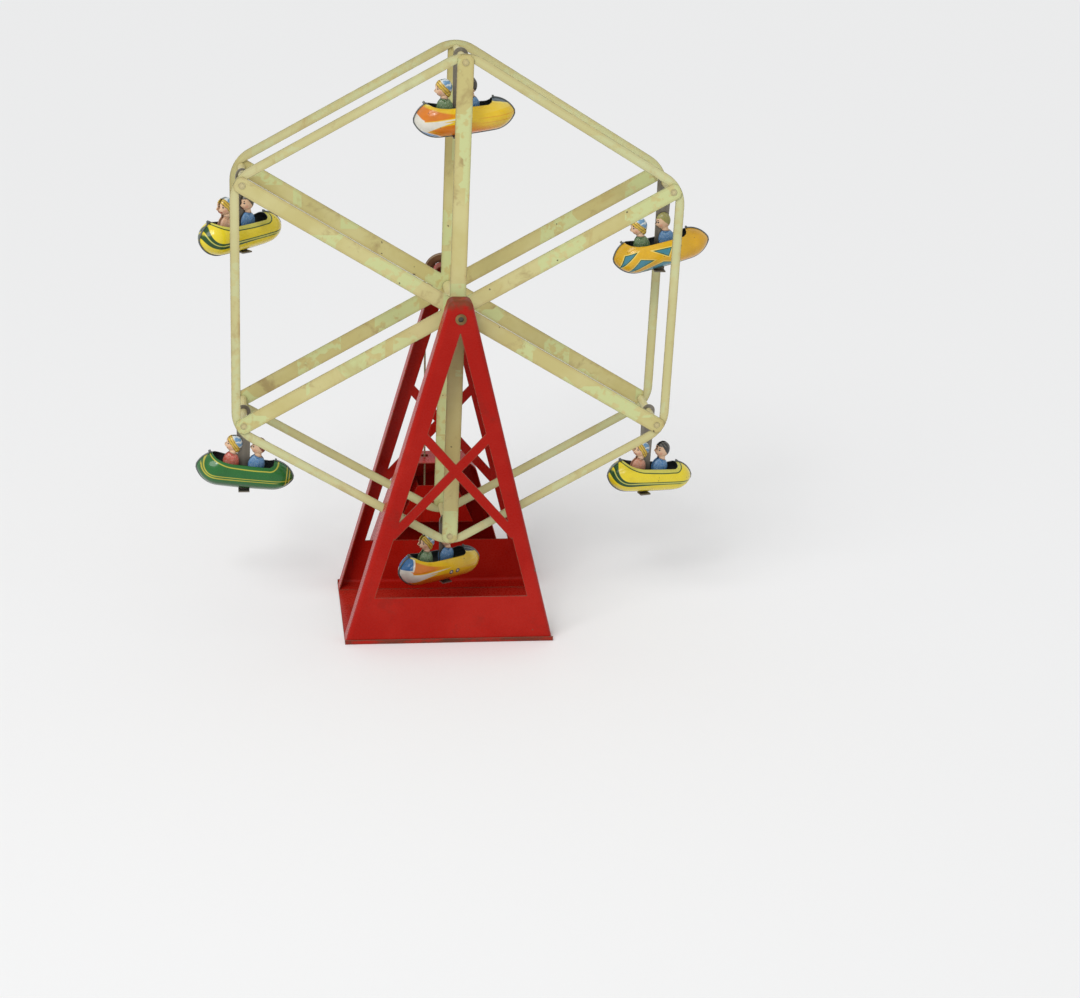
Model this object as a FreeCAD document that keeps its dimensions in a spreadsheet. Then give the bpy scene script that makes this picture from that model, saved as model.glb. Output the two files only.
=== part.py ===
import FreeCAD, Part

import math
import os

import Sketcher

# Hand cranked tin ferris wheel. X runs to the right, Y to the rear, Z up, in millimetres.
# The origin is the middle of the base plate's underside, and the wheel turns about a line along Y.

doc = FreeCAD.newDocument("FerrisWheel")
sheet = doc.addObject("Spreadsheet::Sheet", "P")

SIZES = {
    # stand
    "stand_width": 130.0,
    "stand_depth": 92.4,
    "base_sheet": 0.6,
    "hem_height": 3.0,
    "frame_top_width": 13.2,
    "frame_sheet": 0.6,
    "flange_depth": 12.0,
    "bend_radius": 3.0,
    "cap_radius": 4.0,
    "panel_height": 31.0,
    "opening_bottom_width": 94.4,
    "brace_width": 5.8,
    "brace_top_height": 134.5,
    "brace_low_height": 74.5,
    "brace_run_on": 0.7,
    # axle and hub
    "hub_height": 209.0,
    "frame_above_hub": 10.5,
    "vee_below_hub": 8.5,
    "axle_radius": 1.6,
    "axle_front_recess": 0.6,
    "axle_rear_reach": 64.0,
    "running_gap": 0.05,
    "side_gap": 0.3,
    "bush_flange_radius": 3.3,
    "bush_barrel_radius": 2.4,
    "bush_flange": 0.5,
    "bush_reach": 1.6,
    "hub_tube_radius": 3.6,
    "hub_disc_radius": 8.0,
    # wheel sides
    "ring_offset": 26.0,
    "wheel_sheet": 0.8,
    "rim_apothem": 130.4,
    "rim_width": 5.4,
    "rim_outer_round": 22.0,
    "rim_inner_round": 2.0,
    "spoke_width": 9.6,
    "spoke_reach": 150.0,
    "spoke_bevel": 2.4,
    "pin_circle_radius": 145.5,
    "pin_radius": 1.2,
    "pin_head_radius": 2.0,
    "pin_head": 0.2,
    # gondolas
    "tube_radius": 2.2,
    "hanger_sheet": 0.8,
    "hanger_head_radius": 4.4,
    "hanger_foot_width": 6.8,
    "foot_reach": 5.0,
    "foot_gap": 0.3,
    "hull_length": 60.5,
    "hull_radius": 10.6,
    "hull_sheet": 0.5,
    "nose_length": 14.0,
    "tail_length": 12.0,
    "tail_radius": 9.2,
    "tip_radius": 1.0,
    "slot_gap": 0.3,
    "rim_line": 6.4,
    "deck_lip": 0.8,
    "cockpit_front": 22.0,
    "cockpit_front_slope": 11.0,
    "cockpit_rear": 17.0,
    "cockpit_rear_slope": 2.5,
    "riders_sheet": 0.5,
    "riders_gap": 0.1,
    "riders_floor_gap": 0.25,
    "seat_line": 1.6,
    "bust_bottom": -3.0,
    "head_top": 22.6,
    "head_radius": 5.0,
    "head_relief": 3.2,
    "neck_width": 4.0,
    "neck_height": 2.5,
    "shoulder_drop": 3.0,
    "bust_relief": 2.6,
    "bust_width": 9.6,
    "bust_top": 10.6,
    "front_rider_place": 9.0,
    "rear_rider_place": 6.5,
    "panel_front_gap": 3.5,
    "panel_rear_gap": 3.5,
    # drive
    "pulley_place": 60.0,
    "pulley_radius": 12.0,
    "pulley_width": 4.4,
    "pulley_hub_radius": 3.4,
    "pulley_rim": 3.2,
    "pulley_web": 1.2,
    "pulley_arm_width": 1.8,
    "window_hub_edge": 0.8,
    "window_rim_edge": 0.5,
    "groove_depth": 1.65,
    "groove_bottom_width": 1.8,
    "groove_top_width": 3.2,
    "drive_wheel_radius": 8.25,
    "cord_radius": 0.6,
    "cord_play": 0.3,
    "crank_height": 52.5,
    "cover_depth": 26.0,
    "cover_sheet": 0.6,
    "cover_bottom": 3.3,
    "cover_top": 85.0,
    "cover_bottom_width": 96.4,
    "cover_top_width": 46.4,
    "cover_top_round": 9.0,
    "cover_back_round": 4.0,
    "boss_radius": 16.7,
    "boss_height": 1.6,
    "cord_slot_width": 4.6,
    "cord_slot_depth": 4.6,
    "bracket_place": 54.4,
    "bracket_bottom": 40.0,
    "bracket_top": 66.0,
    "bracket_bottom_width": 49.4,
    "bracket_top_width": 25.8,
    "shaft_radius": 1.5,
    "shaft_front": 53.0,
    "arm_length": 26.0,
    "arm_width": 7.0,
    "arm_sheet": 1.4,
    "arm_gap": 1.4,
    "knob_radius": 4.2,
    "knob_neck_radius": 3.0,
    "knob_length": 16.0,
    "knob_end_round": 2.2,
    "knob_waist": 0.3,
    "knob_flare": 2.4,
    "knob_pin_radius": 1.3,
    "knob_pin_head_radius": 2.2,
    "knob_pin_head": 0.8,
}

# Each gondola hangs from its own pin, counted clockwise from the top one. None is quite like
# the next: the hull sits higher or lower on its strip, more or less level and further to one
# side, the riders sit further back or forth in it, and the loose strip lets some twist round
# so that the nose comes out towards the front.
GONDOLAS = ("a", "b", "c", "d", "e", "f")
SEATING = {
    "hull_drop_": (35.2, 41.2, 43.4, 29.7, 38.6, 33.4),
    "hull_tilt_": (6.7, 14.6, -6.5, -1.0, -8.2, 2.0),
    "hull_shift_": (3.2, 0.6, 4.2, -3.6, 0.7, -1.2),
    "twist_": (0.0, 0.0, 15.0, 26.0, 0.0, 37.5),
    "riders_shift_": (-2.4, -2.4, -1.0, -2.2, -0.7, -2.0),
}
for size_name, values in SEATING.items():
    for letter, value in zip(GONDOLAS, values):
        SIZES[size_name + letter] = value

for row, (alias, value) in enumerate(SIZES.items(), start=1):
    sheet.set("A%d" % row, alias)
    sheet.set("B%d" % row, str(value))
    sheet.setAlias("B%d" % row, alias)
doc.recompute()

X_AXIS = FreeCAD.Vector(1, 0, 0)
Y_AXIS = FreeCAD.Vector(0, 1, 0)
Z_AXIS = FreeCAD.Vector(0, 0, 1)

nodes = []


# ---- shared helpers: an expression names a size as <size> ----


def cells(text):
    """Turn names of sizes written as <name> into references to the sheet."""
    return text.replace("<", "P.").replace(">", "")


def number_of(text):
    """The value of an expression over the sheet, as a plain number."""
    value = sheet.evalExpression(cells(text))
    return float(getattr(value, "Value", value))


def bind(thing, **expressions):
    """Bind properties of an object to expressions over the sheet."""
    for name, text in expressions.items():
        thing.setExpression(name, cells(text))


def place_twisted(thing, across, back, up, tilt, twist):
    """Put an object at a point, tilted about the wheel's direction and then twisted about Z."""
    turns = "rotation(vector(0; 0; 1); %s) * rotation(vector(0; -1; 0); %s)" % (twist, tilt)
    spot = "vector(%s; %s; %s)" % (across, back, up)
    thing.setExpression("Placement", cells("placement(%s; %s)" % (spot, turns)))


def place(thing, across="0", back="0", up="0", axis=Y_AXIS, angle="0"):
    """Put an object at a point, turned about an axis through its own origin."""
    turn = FreeCAD.Rotation(axis, 1.0)
    thing.Placement = FreeCAD.Placement(FreeCAD.Vector(0, 0, 0), turn)
    thing.setExpression("Placement.Rotation.Angle", cells(angle))
    thing.setExpression("Placement.Base.x", cells(across))
    thing.setExpression("Placement.Base.y", cells(back))
    thing.setExpression("Placement.Base.z", cells(up))


def keep(thing, name):
    """Name a finished sub-part and put it on the list of nodes."""
    thing.Label = name
    nodes.append(thing)
    return thing


def new_body(name):
    return doc.addObject("PartDesign::Body", name + "_body")


def new_sketch(body, role, offset="0"):
    """A sketch on one of a body's own planes, moved along the plane's normal."""
    sketch = body.newObject("Sketcher::SketchObject", body.Name + "_sketch")
    plane = next(item for item in body.Origin.OriginFeatures if item.Role == role)
    sketch.AttachmentSupport = [(plane, "")]
    sketch.MapMode = "FlatFace"
    sketch.setExpression("AttachmentOffset.Base.z", cells(offset))
    return sketch


def pin_point(sketch, edge, end, spot):
    """Tie one end of an edge, or a circle's centre, to a pair of expressions."""
    for kind, text in zip(("DistanceX", "DistanceY"), spot):
        rule = Sketcher.Constraint(kind, -1, 1, edge, end, number_of(text))
        index = sketch.addConstraint(rule)
        sketch.setExpression("Constraints[%d]" % index, cells(text))


def arc_between(start, finish, radius, leftward):
    """The arc of a radius from start to finish that bulges to the left or the right of the chord."""
    chord = finish - start
    rise = math.sqrt(max(radius * radius - chord.Length ** 2 / 4.0, 0.0))
    side = FreeCAD.Vector(-chord.y, chord.x, 0).normalize() * (1 if leftward else -1)
    middle = (start + finish) * 0.5 + side * (radius - rise)
    return Part.Arc(start, middle, finish)


def draw_outline(sketch, corners, arcs=None):
    """A closed outline through corners; arcs maps an edge's number to a radius and its bulge.

    A half circle also gives the height of its centre, because its radius alone can't hold it.
    """
    arcs = arcs or {}
    count = len(corners)
    first = sketch.GeometryCount
    spots = [FreeCAD.Vector(number_of(x), number_of(y), 0) for x, y in corners]
    for index in range(count):
        start, finish = spots[index], spots[(index + 1) % count]
        if index in arcs:
            text, leftward = arcs[index][:2]
            sketch.addGeometry(arc_between(start, finish, number_of(text), leftward), False)
        else:
            sketch.addGeometry(Part.LineSegment(start, finish), False)
    # an arc is stored anticlockwise, so one that bulges to the left has its ends swapped
    ends = [(2, 1) if index in arcs and arcs[index][1] else (1, 2) for index in range(count)]
    for index in range(count):
        after = (index + 1) % count
        sketch.addConstraint(Sketcher.Constraint("Coincident", first + index, ends[index][1],
                                                 first + after, ends[after][0]))
        pin_point(sketch, first + index, ends[index][0], corners[index])
    for index, arc in arcs.items():
        if len(arc) == 3:
            text = arc[2]
            rule = Sketcher.Constraint("DistanceY", -1, 1, first + index, 3, number_of(text))
        else:
            text = arc[0]
            rule = Sketcher.Constraint("Radius", first + index, number_of(text))
        number = sketch.addConstraint(rule)
        sketch.setExpression("Constraints[%d]" % number, cells(text))


def draw_circle(sketch, centre, radius):
    spot = FreeCAD.Vector(number_of(centre[0]), number_of(centre[1]), 0)
    edge = sketch.addGeometry(Part.Circle(spot, Z_AXIS, number_of(radius)), False)
    pin_point(sketch, edge, 3, centre)
    rule = sketch.addConstraint(Sketcher.Constraint("Radius", edge, number_of(radius)))
    sketch.setExpression("Constraints[%d]" % rule, cells(radius))


def pad(body, sketch, length, reverse=False, midplane=False):
    feature = body.newObject("PartDesign::Pad", body.Name + "_pad")
    feature.Profile = sketch
    feature.setExpression("Length", cells(length))
    feature.Reversed = reverse
    feature.Midplane = midplane
    doc.recompute()
    return feature


def pocket(body, sketch, length, reverse=False, midplane=False):
    """Cut a sketch's outline out of a body, and make sure that it took something away."""
    before = body.Tip.Shape.Volume
    feature = body.newObject("PartDesign::Pocket", body.Name + "_pocket")
    feature.Profile = sketch
    feature.setExpression("Length", cells(length))
    feature.Reversed = reverse
    feature.Midplane = midplane
    doc.recompute()
    if feature.Shape.Volume > before - 1e-4:
        raise RuntimeError(body.Name + ": a pocket cuts nothing")
    return feature


def revolve(body, sketch, angle="360"):
    """Turn a sketch about its own horizontal axis."""
    feature = body.newObject("PartDesign::Revolution", body.Name + "_turn")
    feature.Profile = sketch
    feature.ReferenceAxis = (sketch, ["H_Axis"])
    feature.setExpression("Angle", angle)
    doc.recompute()
    return feature


def polar(body, features, role, times):
    """Repeat features of a body about one of its own axes."""
    before = body.Tip.Shape.Volume
    pattern = body.newObject("PartDesign::PolarPattern", body.Name + "_polar")
    axis = next(item for item in body.Origin.OriginFeatures if item.Role == role)
    pattern.Originals = features
    pattern.Axis = (axis, [""])
    pattern.Angle = 360
    pattern.Occurrences = times
    body.Tip = pattern
    doc.recompute()
    if abs(pattern.Shape.Volume - before) < 1e-4:
        raise RuntimeError(body.Name + ": a pattern changes nothing")
    return pattern


def edges_where(shape, test):
    return ["Edge%d" % (i + 1) for i, edge in enumerate(shape.Edges) if test(edge)]


def faces_where(shape, test):
    return ["Face%d" % (i + 1) for i, face in enumerate(shape.Faces) if test(face)]


def round_edges(body, base, names, radius):
    if not names:
        raise RuntimeError(body.Name + ": no edge to round")
    feature = body.newObject("PartDesign::Fillet", body.Name + "_round")
    feature.Base = (base, names)
    feature.setExpression("Radius", cells(radius))
    doc.recompute()
    return feature


def hollow(body, base, open_faces, wall):
    """Leave a wall inside the present outline, open at the named faces."""
    feature = body.newObject("PartDesign::Thickness", body.Name + "_wall")
    feature.Base = (base, open_faces)
    feature.setExpression("Value", cells(wall))
    feature.Reversed = True
    feature.Mode = "Skin"
    feature.Join = "Arc"
    doc.recompute()
    return feature


def rod(name, radius, length, across="0", back="0", up="0", bore=None):
    """A round rod or tube along Y that starts at the given point."""
    solid = doc.addObject("Part::Cylinder", name + "_rod")
    bind(solid, Radius=radius, Height=length)
    place(solid, across, back, up, X_AXIS, "-90")
    if bore is None:
        return solid
    hole = doc.addObject("Part::Cylinder", name + "_bore")
    bind(hole, Radius=bore, Height=length + " + 2")
    place(hole, across, back + " - 1", up, X_AXIS, "-90")
    return cut(name, solid, hole)


def cut(name, base, tool):
    feature = doc.addObject("Part::Cut", name + "_cut")
    feature.Base = base
    feature.Tool = tool
    return feature


def join(name, pieces):
    feature = doc.addObject("Part::MultiFuse", name + "_join")
    feature.Shapes = pieces
    return feature


def group(name, pieces):
    feature = doc.addObject("Part::Compound", name + "_group")
    feature.Links = pieces
    return feature


# ---- stand ----

# Half widths of a frame's outer edge and of the opening's edge, at a height.
FRAME_HEIGHT = "(<hub_height> + <frame_above_hub>)"
VEE_TOP = "(<hub_height> - <vee_below_hub>)"
HALF_OUTER = "(<stand_width> - (<stand_width> - <frame_top_width>) * (%s) / " + FRAME_HEIGHT + ") / 2"
HALF_OPENING = ("(<opening_bottom_width> / 2 * (" + VEE_TOP + " - (%s))"
                " / (" + VEE_TOP + " - <panel_height>))")
FRAME_BOTTOM = "<base_sheet>"


def outward_rim(face_height):
    """A test for the edges that run round a flat face at this height along the pull direction."""
    return lambda edge: all(abs(v.Y - face_height) < 1e-4 for v in edge.Vertexes)


def brace_corners(hand):
    """The flat bar of the cross brace that falls to the right, or to the left for hand -1."""
    top_reach = HALF_OPENING % "<brace_top_height>"
    low_reach = HALF_OPENING % "<brace_low_height>"
    run = "(%s + %s)" % (top_reach, low_reach)
    fall = "(<brace_top_height> - <brace_low_height>)"
    length = "sqrt(%s ^ 2 + %s ^ 2)" % (run, fall)
    # from the opening's edge the bar runs on into the leg by a share of its own width
    ends = (("-" + top_reach, "<brace_top_height>", -1),
            (low_reach, "<brace_low_height>", 1))
    corners = []
    for (reach, height, way), sides in zip(ends, ((-1, 1), (1, -1))):
        for side in sides:
            x = "(%s) + (%d * <brace_run_on> * %s + %d / 2 * %s) * <brace_width> / %s" % (
                reach, way, run, side, fall, length)
            z = "(%s) + (%d * <brace_run_on> * %s + %d / 2 * %s) * <brace_width> / %s" % (
                height, -way, fall, side, run, length)
            corners.append(("%d * (%s)" % (hand, x), z))
    return corners


def make_frame(name, turn):
    """One A-shaped end plate, pressed from sheet with a flange turned in all round."""
    body = new_body(name)
    outer_face = "<stand_depth> / 2"
    outline = new_sketch(body, "XZ_Plane", outer_face)
    bottom = (HALF_OUTER % FRAME_BOTTOM)
    top = "<frame_top_width> / 2"
    draw_outline(outline, [("-" + bottom, FRAME_BOTTOM), (bottom, FRAME_BOTTOM),
                           (top, FRAME_HEIGHT), ("-" + top, FRAME_HEIGHT)])
    blank = pad(body, outline, "<flange_depth>", reverse=True)
    shoulders = edges_where(blank.Shape, lambda e: (
        e.Length < number_of("<flange_depth>") + 0.01
        and e.BoundBox.ZMin > number_of(FRAME_HEIGHT) - 0.01 and e.BoundBox.YLength > 1))
    capped = round_edges(body, blank, shoulders, "<cap_radius>")
    plate = -number_of(outer_face)
    bends = edges_where(capped.Shape, lambda e: (
        all(abs(v.Y - plate) < 1e-4 for v in e.Vertexes)))
    bent = round_edges(body, capped, bends, "<bend_radius>")
    open_side = faces_where(bent.Shape, lambda f: (
        f.BoundBox.YLength < 1e-4 and f.CenterOfMass.y > plate + 1))
    shell = hollow(body, bent, open_side, "<frame_sheet>")
    opening = new_sketch(body, "XZ_Plane", outer_face)
    low = HALF_OPENING % "<panel_height>"
    draw_outline(opening, [("-" + low, "<panel_height>"), (low, "<panel_height>"),
                           ("0", VEE_TOP)])
    pocket(body, opening, "<frame_sheet> + 0.2")
    for hand in (1, -1):
        brace = new_sketch(body, "XZ_Plane", outer_face)
        draw_outline(brace, brace_corners(hand))
        pad(body, brace, "<frame_sheet>", reverse=True)
    hole = new_sketch(body, "XZ_Plane", outer_face)
    draw_circle(hole, ("0", "<hub_height>"), "<bush_barrel_radius>")
    pocket(body, hole, "<frame_sheet> + 0.2")
    place(body, axis=Z_AXIS, angle=turn)
    return keep(body, name)


def make_base_plate():
    """A flat floor whose front and rear edges are folded up outside the frames."""
    body = new_body("base_plate")
    profile = new_sketch(body, "YZ_Plane", "-<stand_width> / 2")
    inner = "<stand_depth> / 2"
    outer = "(<stand_depth> / 2 + <base_sheet>)"
    draw_outline(profile, [("-" + outer, "0"), (outer, "0"), (outer, "<hem_height>"),
                           (inner, "<hem_height>"), (inner, "<base_sheet>"),
                           ("-" + inner, "<base_sheet>"), ("-" + inner, "<hem_height>"),
                           ("-" + outer, "<hem_height>")])
    channel = pad(body, profile, "<stand_width>")
    folds = edges_where(channel.Shape, lambda e: (
        e.BoundBox.XLength > 10 and e.BoundBox.ZMax < 1e-4))
    round_edges(body, channel, folds, "<base_sheet> * 0.9")
    return keep(body, "base_plate")


def bush_turned(name, flange_face, direction, barrel_radius, bore, flange_radius, reach, height):
    """An eyelet bush: a thin flange outside the sheet and a barrel through it, along +Y or -Y."""
    flange = doc.addObject("Part::Cylinder", name + "_flange")
    bind(flange, Radius=flange_radius, Height="<bush_flange>")
    barrel = doc.addObject("Part::Cylinder", name + "_barrel")
    bind(barrel, Radius=barrel_radius, Height="<bush_flange> + " + reach)
    bore_tool = doc.addObject("Part::Cylinder", name + "_bore")
    bind(bore_tool, Radius=bore, Height="<bush_flange> + 2 + " + reach)
    turn = "-90" if direction > 0 else "90"
    outer = "%s - %d * <bush_flange>" % (flange_face, direction)
    place(flange, "0", outer, height, X_AXIS, turn)
    place(barrel, "0", outer, height, X_AXIS, turn)
    place(bore_tool, "0", "%s - %d" % (outer, direction), height, X_AXIS, turn)
    return cut(name, join(name, [flange, barrel]), bore_tool)


def make_axle_bushes():
    """The two eyelets that carry the axle, one in each frame."""
    bushes = []
    for side, direction in (("front", 1), ("rear", -1)):
        face = "%d * -<stand_depth> / 2" % direction
        bushes.append(bush_turned("axle_bush_" + side, face, direction, "<bush_barrel_radius>",
                                  "<axle_radius> + <running_gap>", "<bush_flange_radius>",
                                  "<bush_reach>", "<hub_height>"))
    return keep(group("axle_bushes", bushes), "axle_bushes")


# ---- wheel ----

TURN_UP = "<hub_height>"
HUB_HALF = "(<stand_depth> / 2 - <bush_reach> - <side_gap>)"


def make_axle():
    start = "-(<stand_depth> / 2) + <axle_front_recess>"
    length = "<stand_depth> / 2 - <axle_front_recess> + <axle_rear_reach>"
    return keep(rod("axle", "<axle_radius>", length, "0", start, TURN_UP), "axle")


def make_hub_tube():
    """The long tube that holds the two sides of the wheel apart and centres it in the stand."""
    tube = rod("hub_tube", "<hub_tube_radius>", "2 * " + HUB_HALF, "0", "-" + HUB_HALF, TURN_UP,
               bore="<axle_radius> + <running_gap>")
    return keep(tube, "hub_tube")


def make_hub_disc(name, hand):
    """A round washer over the crossing of the spokes."""
    outer = "<ring_offset> + <wheel_sheet>"
    start = outer if hand > 0 else "-(%s) - <wheel_sheet>" % outer
    disc = rod(name, "<hub_disc_radius>", "<wheel_sheet>", "0", start, TURN_UP,
               bore="<hub_tube_radius> + <running_gap>")
    return keep(disc, name)


def ring_start(hand, outer):
    """Where a wheel sheet starts along Y: spokes lie outside the ring plane, rims inside it."""
    if outer:
        return "<ring_offset>" if hand > 0 else "-<ring_offset> - <wheel_sheet>"
    return "<ring_offset> - <wheel_sheet>" if hand > 0 else "-<ring_offset>"


def make_spokes(name, hand):
    """Six flat spokes of one side in one pressing, with a hub hole and a pin hole in each end."""
    body = new_body(name)
    start = ring_start(hand, True)
    spoke = new_sketch(body, "XZ_Plane", "-(%s)" % start)
    half = "<spoke_width> / 2"
    shoulder = "<spoke_reach> - <spoke_bevel>"
    draw_outline(spoke, [("-" + half, "0"), (half, "0"), (half, shoulder),
                         (half + " - <spoke_bevel>", "<spoke_reach>"),
                         ("-(%s - <spoke_bevel>)" % half, "<spoke_reach>"), ("-" + half, shoulder)])
    first = pad(body, spoke, "<wheel_sheet>", reverse=True)
    polar(body, [first], "Y_Axis", 6)
    middle = new_sketch(body, "XZ_Plane", "-(%s)" % start)
    draw_circle(middle, ("0", "0"), "<hub_tube_radius> + <running_gap>")
    pocket(body, middle, "<wheel_sheet>")
    pin_hole = new_sketch(body, "XZ_Plane", "-(%s)" % start)
    draw_circle(pin_hole, ("0", "<pin_circle_radius>"), "<pin_radius> + <running_gap>")
    first_hole = pocket(body, pin_hole, "<wheel_sheet>")
    polar(body, [first_hole], "Y_Axis", 6)
    place(body, up=TURN_UP)
    return keep(body, name)


def hexagon(apothem):
    """Corners of a hexagon that stands on a point."""
    corners = []
    for step in range(6):
        corners.append(("(%s) / cos(30) * sin(%d)" % (apothem, 60 * step),
                        "(%s) / cos(30) * cos(%d)" % (apothem, 60 * step)))
    return corners


def make_rim(name, hand):
    """The hexagonal hoop of one side, rounded at its six outer corners."""
    body = new_body(name)
    start = ring_start(hand, False)
    hoop = new_sketch(body, "XZ_Plane", "-(%s)" % start)
    draw_outline(hoop, hexagon("<rim_apothem> + <rim_width> / 2"))
    draw_outline(hoop, hexagon("<rim_apothem> - <rim_width> / 2"))
    blank = pad(body, hoop, "<wheel_sheet>", reverse=True)
    middle_radius = number_of("<rim_apothem> / cos(30)")

    def corner_edges(outer):
        return edges_where(body.Tip.Shape, lambda e: (
            e.BoundBox.YLength > 0.1
            and (math.hypot(e.BoundBox.Center.x, e.BoundBox.Center.z) > middle_radius) == outer))

    rounded = round_edges(body, blank, corner_edges(True), "<rim_outer_round>")
    inner = edges_where(rounded.Shape, lambda e: (
        e.BoundBox.YLength > 0.1 and e.BoundBox.XLength < 1e-4 and e.BoundBox.ZLength < 1e-4
        and abs(math.hypot(e.BoundBox.Center.x, e.BoundBox.Center.z)
                - number_of("(<rim_apothem> - <rim_width> / 2) / cos(30)")) < 0.01))
    round_edges(body, rounded, inner, "<rim_inner_round>")
    place(body, up=TURN_UP)
    return keep(body, name)


def around_wheel(step):
    """The middle of a gondola pin, counted clockwise from the top."""
    return ("<pin_circle_radius> * sin(%d)" % (60 * step),
            "<hub_height> + <pin_circle_radius> * cos(%d)" % (60 * step))


def make_gondola_pins():
    """Six headed pins that run through both sides of the wheel."""
    pins = []
    outer = "(<ring_offset> + <wheel_sheet>)"
    for step, letter in enumerate(GONDOLAS):
        across, up = around_wheel(step)
        name = "gondola_pin_" + letter
        shank = rod(name, "<pin_radius>", "2 * " + outer, across, "-" + outer, up)
        heads = [rod(name + "_front", "<pin_head_radius>", "<pin_head>", across,
                     "-" + outer + " - <pin_head>", up),
                 rod(name + "_rear", "<pin_head_radius>", "<pin_head>", across, outer, up)]
        pins.append(join(name, [shank] + heads))
    return keep(group("gondola_pins", pins), "gondola_pins")


def grooved_wheel(name, radius, up, windows):
    """A cord wheel: a grooved rim on a thin web and a hub that reaches towards the stand."""
    body = new_body(name)
    profile = new_sketch(body, "YZ_Plane")
    half = "<pulley_width> / 2"
    web = "<pulley_web> / 2"
    rim_inside = "(%s - <pulley_rim>)" % radius
    hub = "<pulley_hub_radius>"
    bore = "<axle_radius> + <running_gap>" if windows else "<shaft_radius> + <running_gap>"
    groove = "(%s - <groove_depth>)" % radius
    lip = "<groove_top_width> / 2"
    floor = "<groove_bottom_width> / 2"
    reach = ("(<pulley_place> - <stand_depth> / 2 - <bush_flange> - <side_gap>)" if windows
             else "(<pulley_place> - <bracket_place> - <cover_sheet> - <bush_flange> - <side_gap>)")
    corners = [("-" + reach, bore), (half, bore), (half, hub), (web, hub), (web, rim_inside),
               (half, rim_inside), (half, radius), (lip, radius), (floor, groove),
               ("-" + floor, groove), ("-" + lip, radius), ("-" + half, radius),
               ("-" + half, rim_inside), ("-" + web, rim_inside), ("-" + web, hub),
               ("-" + reach, hub)]
    draw_outline(profile, corners)
    revolve(body, profile)
    if windows:
        window = new_sketch(body, "XZ_Plane")
        inner = "(%s + <window_hub_edge>)" % hub
        outer = "(%s - <window_rim_edge>)" % rim_inside
        arm = "<pulley_arm_width> / 2"
        spread = 360.0 / windows / 2
        # one window between two arms, narrower near the hub
        reach_out = "(%s * cos(%f) - %s * sin(%f))" % (outer, spread, arm, spread)
        side_out = "(%s * sin(%f) - %s * cos(%f))" % (outer, spread, arm, spread)
        reach_in = "(%s * cos(%f) + %s * sin(%f))" % (inner, spread, arm, spread)
        side_in = "(%s * sin(%f) - %s * cos(%f))" % (inner, spread, arm, spread)
        draw_outline(window, [("-" + side_in, reach_in), (side_in, reach_in),
                              (side_out, reach_out), ("-" + side_out, reach_out)])
        cut_out = pocket(body, window, "<pulley_width>", midplane=True)
        polar(body, [cut_out], "Y_Axis", windows)
    place(body, back="<pulley_place>", up=up)
    return keep(body, name)


# ---- gondolas ----


HULL_END = "(<hull_length> / 2 - %s)"
FLANK = "(<hull_length> - <nose_length> - <tail_length>)"


def hull_profile(sketch, inset):
    """Half of the hull's side outline above its long axis, inset by a wall."""
    end = HULL_END % inset
    belly = "(<hull_radius> - %s)" % inset
    nose = "(<nose_length> - %s)" % inset
    tail = "(<tail_length> - %s)" % inset
    tail_height = "(<tail_radius> - %s)" % inset
    tip = "(<tip_radius> - %s / 2)" % inset
    nose_rise = "(%s - %s)" % (belly, tip)
    nose_round = "(%s ^ 2 + %s ^ 2) / (2 * %s)" % (nose, nose_rise, nose_rise)
    flank_fall = "(%s - %s)" % (belly, tail_height)
    flank_round = "(%s ^ 2 + %s ^ 2) / (2 * %s)" % (FLANK, flank_fall, flank_fall)
    tail_round = "sqrt(%s ^ 2 + (%s - %s) ^ 2)" % (tail, tail_height, tip)
    draw_outline(sketch, [("-" + end, "0"), ("-" + end, tip), ("-%s + %s" % (end, nose), belly),
                          ("%s - %s" % (end, tail), tail_height), (end, tip), (end, "0")],
                 {1: (nose_round, True), 2: (flank_round, True), 3: (tail_round, True)})


def hull_floor(place_along):
    """The height of the hull's inner floor, with the riders' gap, at a place along the hull."""
    along = "((%s + <hull_length> / 2 - <nose_length>) / %s)" % (place_along, FLANK)
    return ("-(<hull_radius> - (<hull_radius> - <tail_radius>) * %s ^ 2"
            " - <hull_sheet> - <riders_floor_gap>)" % along)


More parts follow.
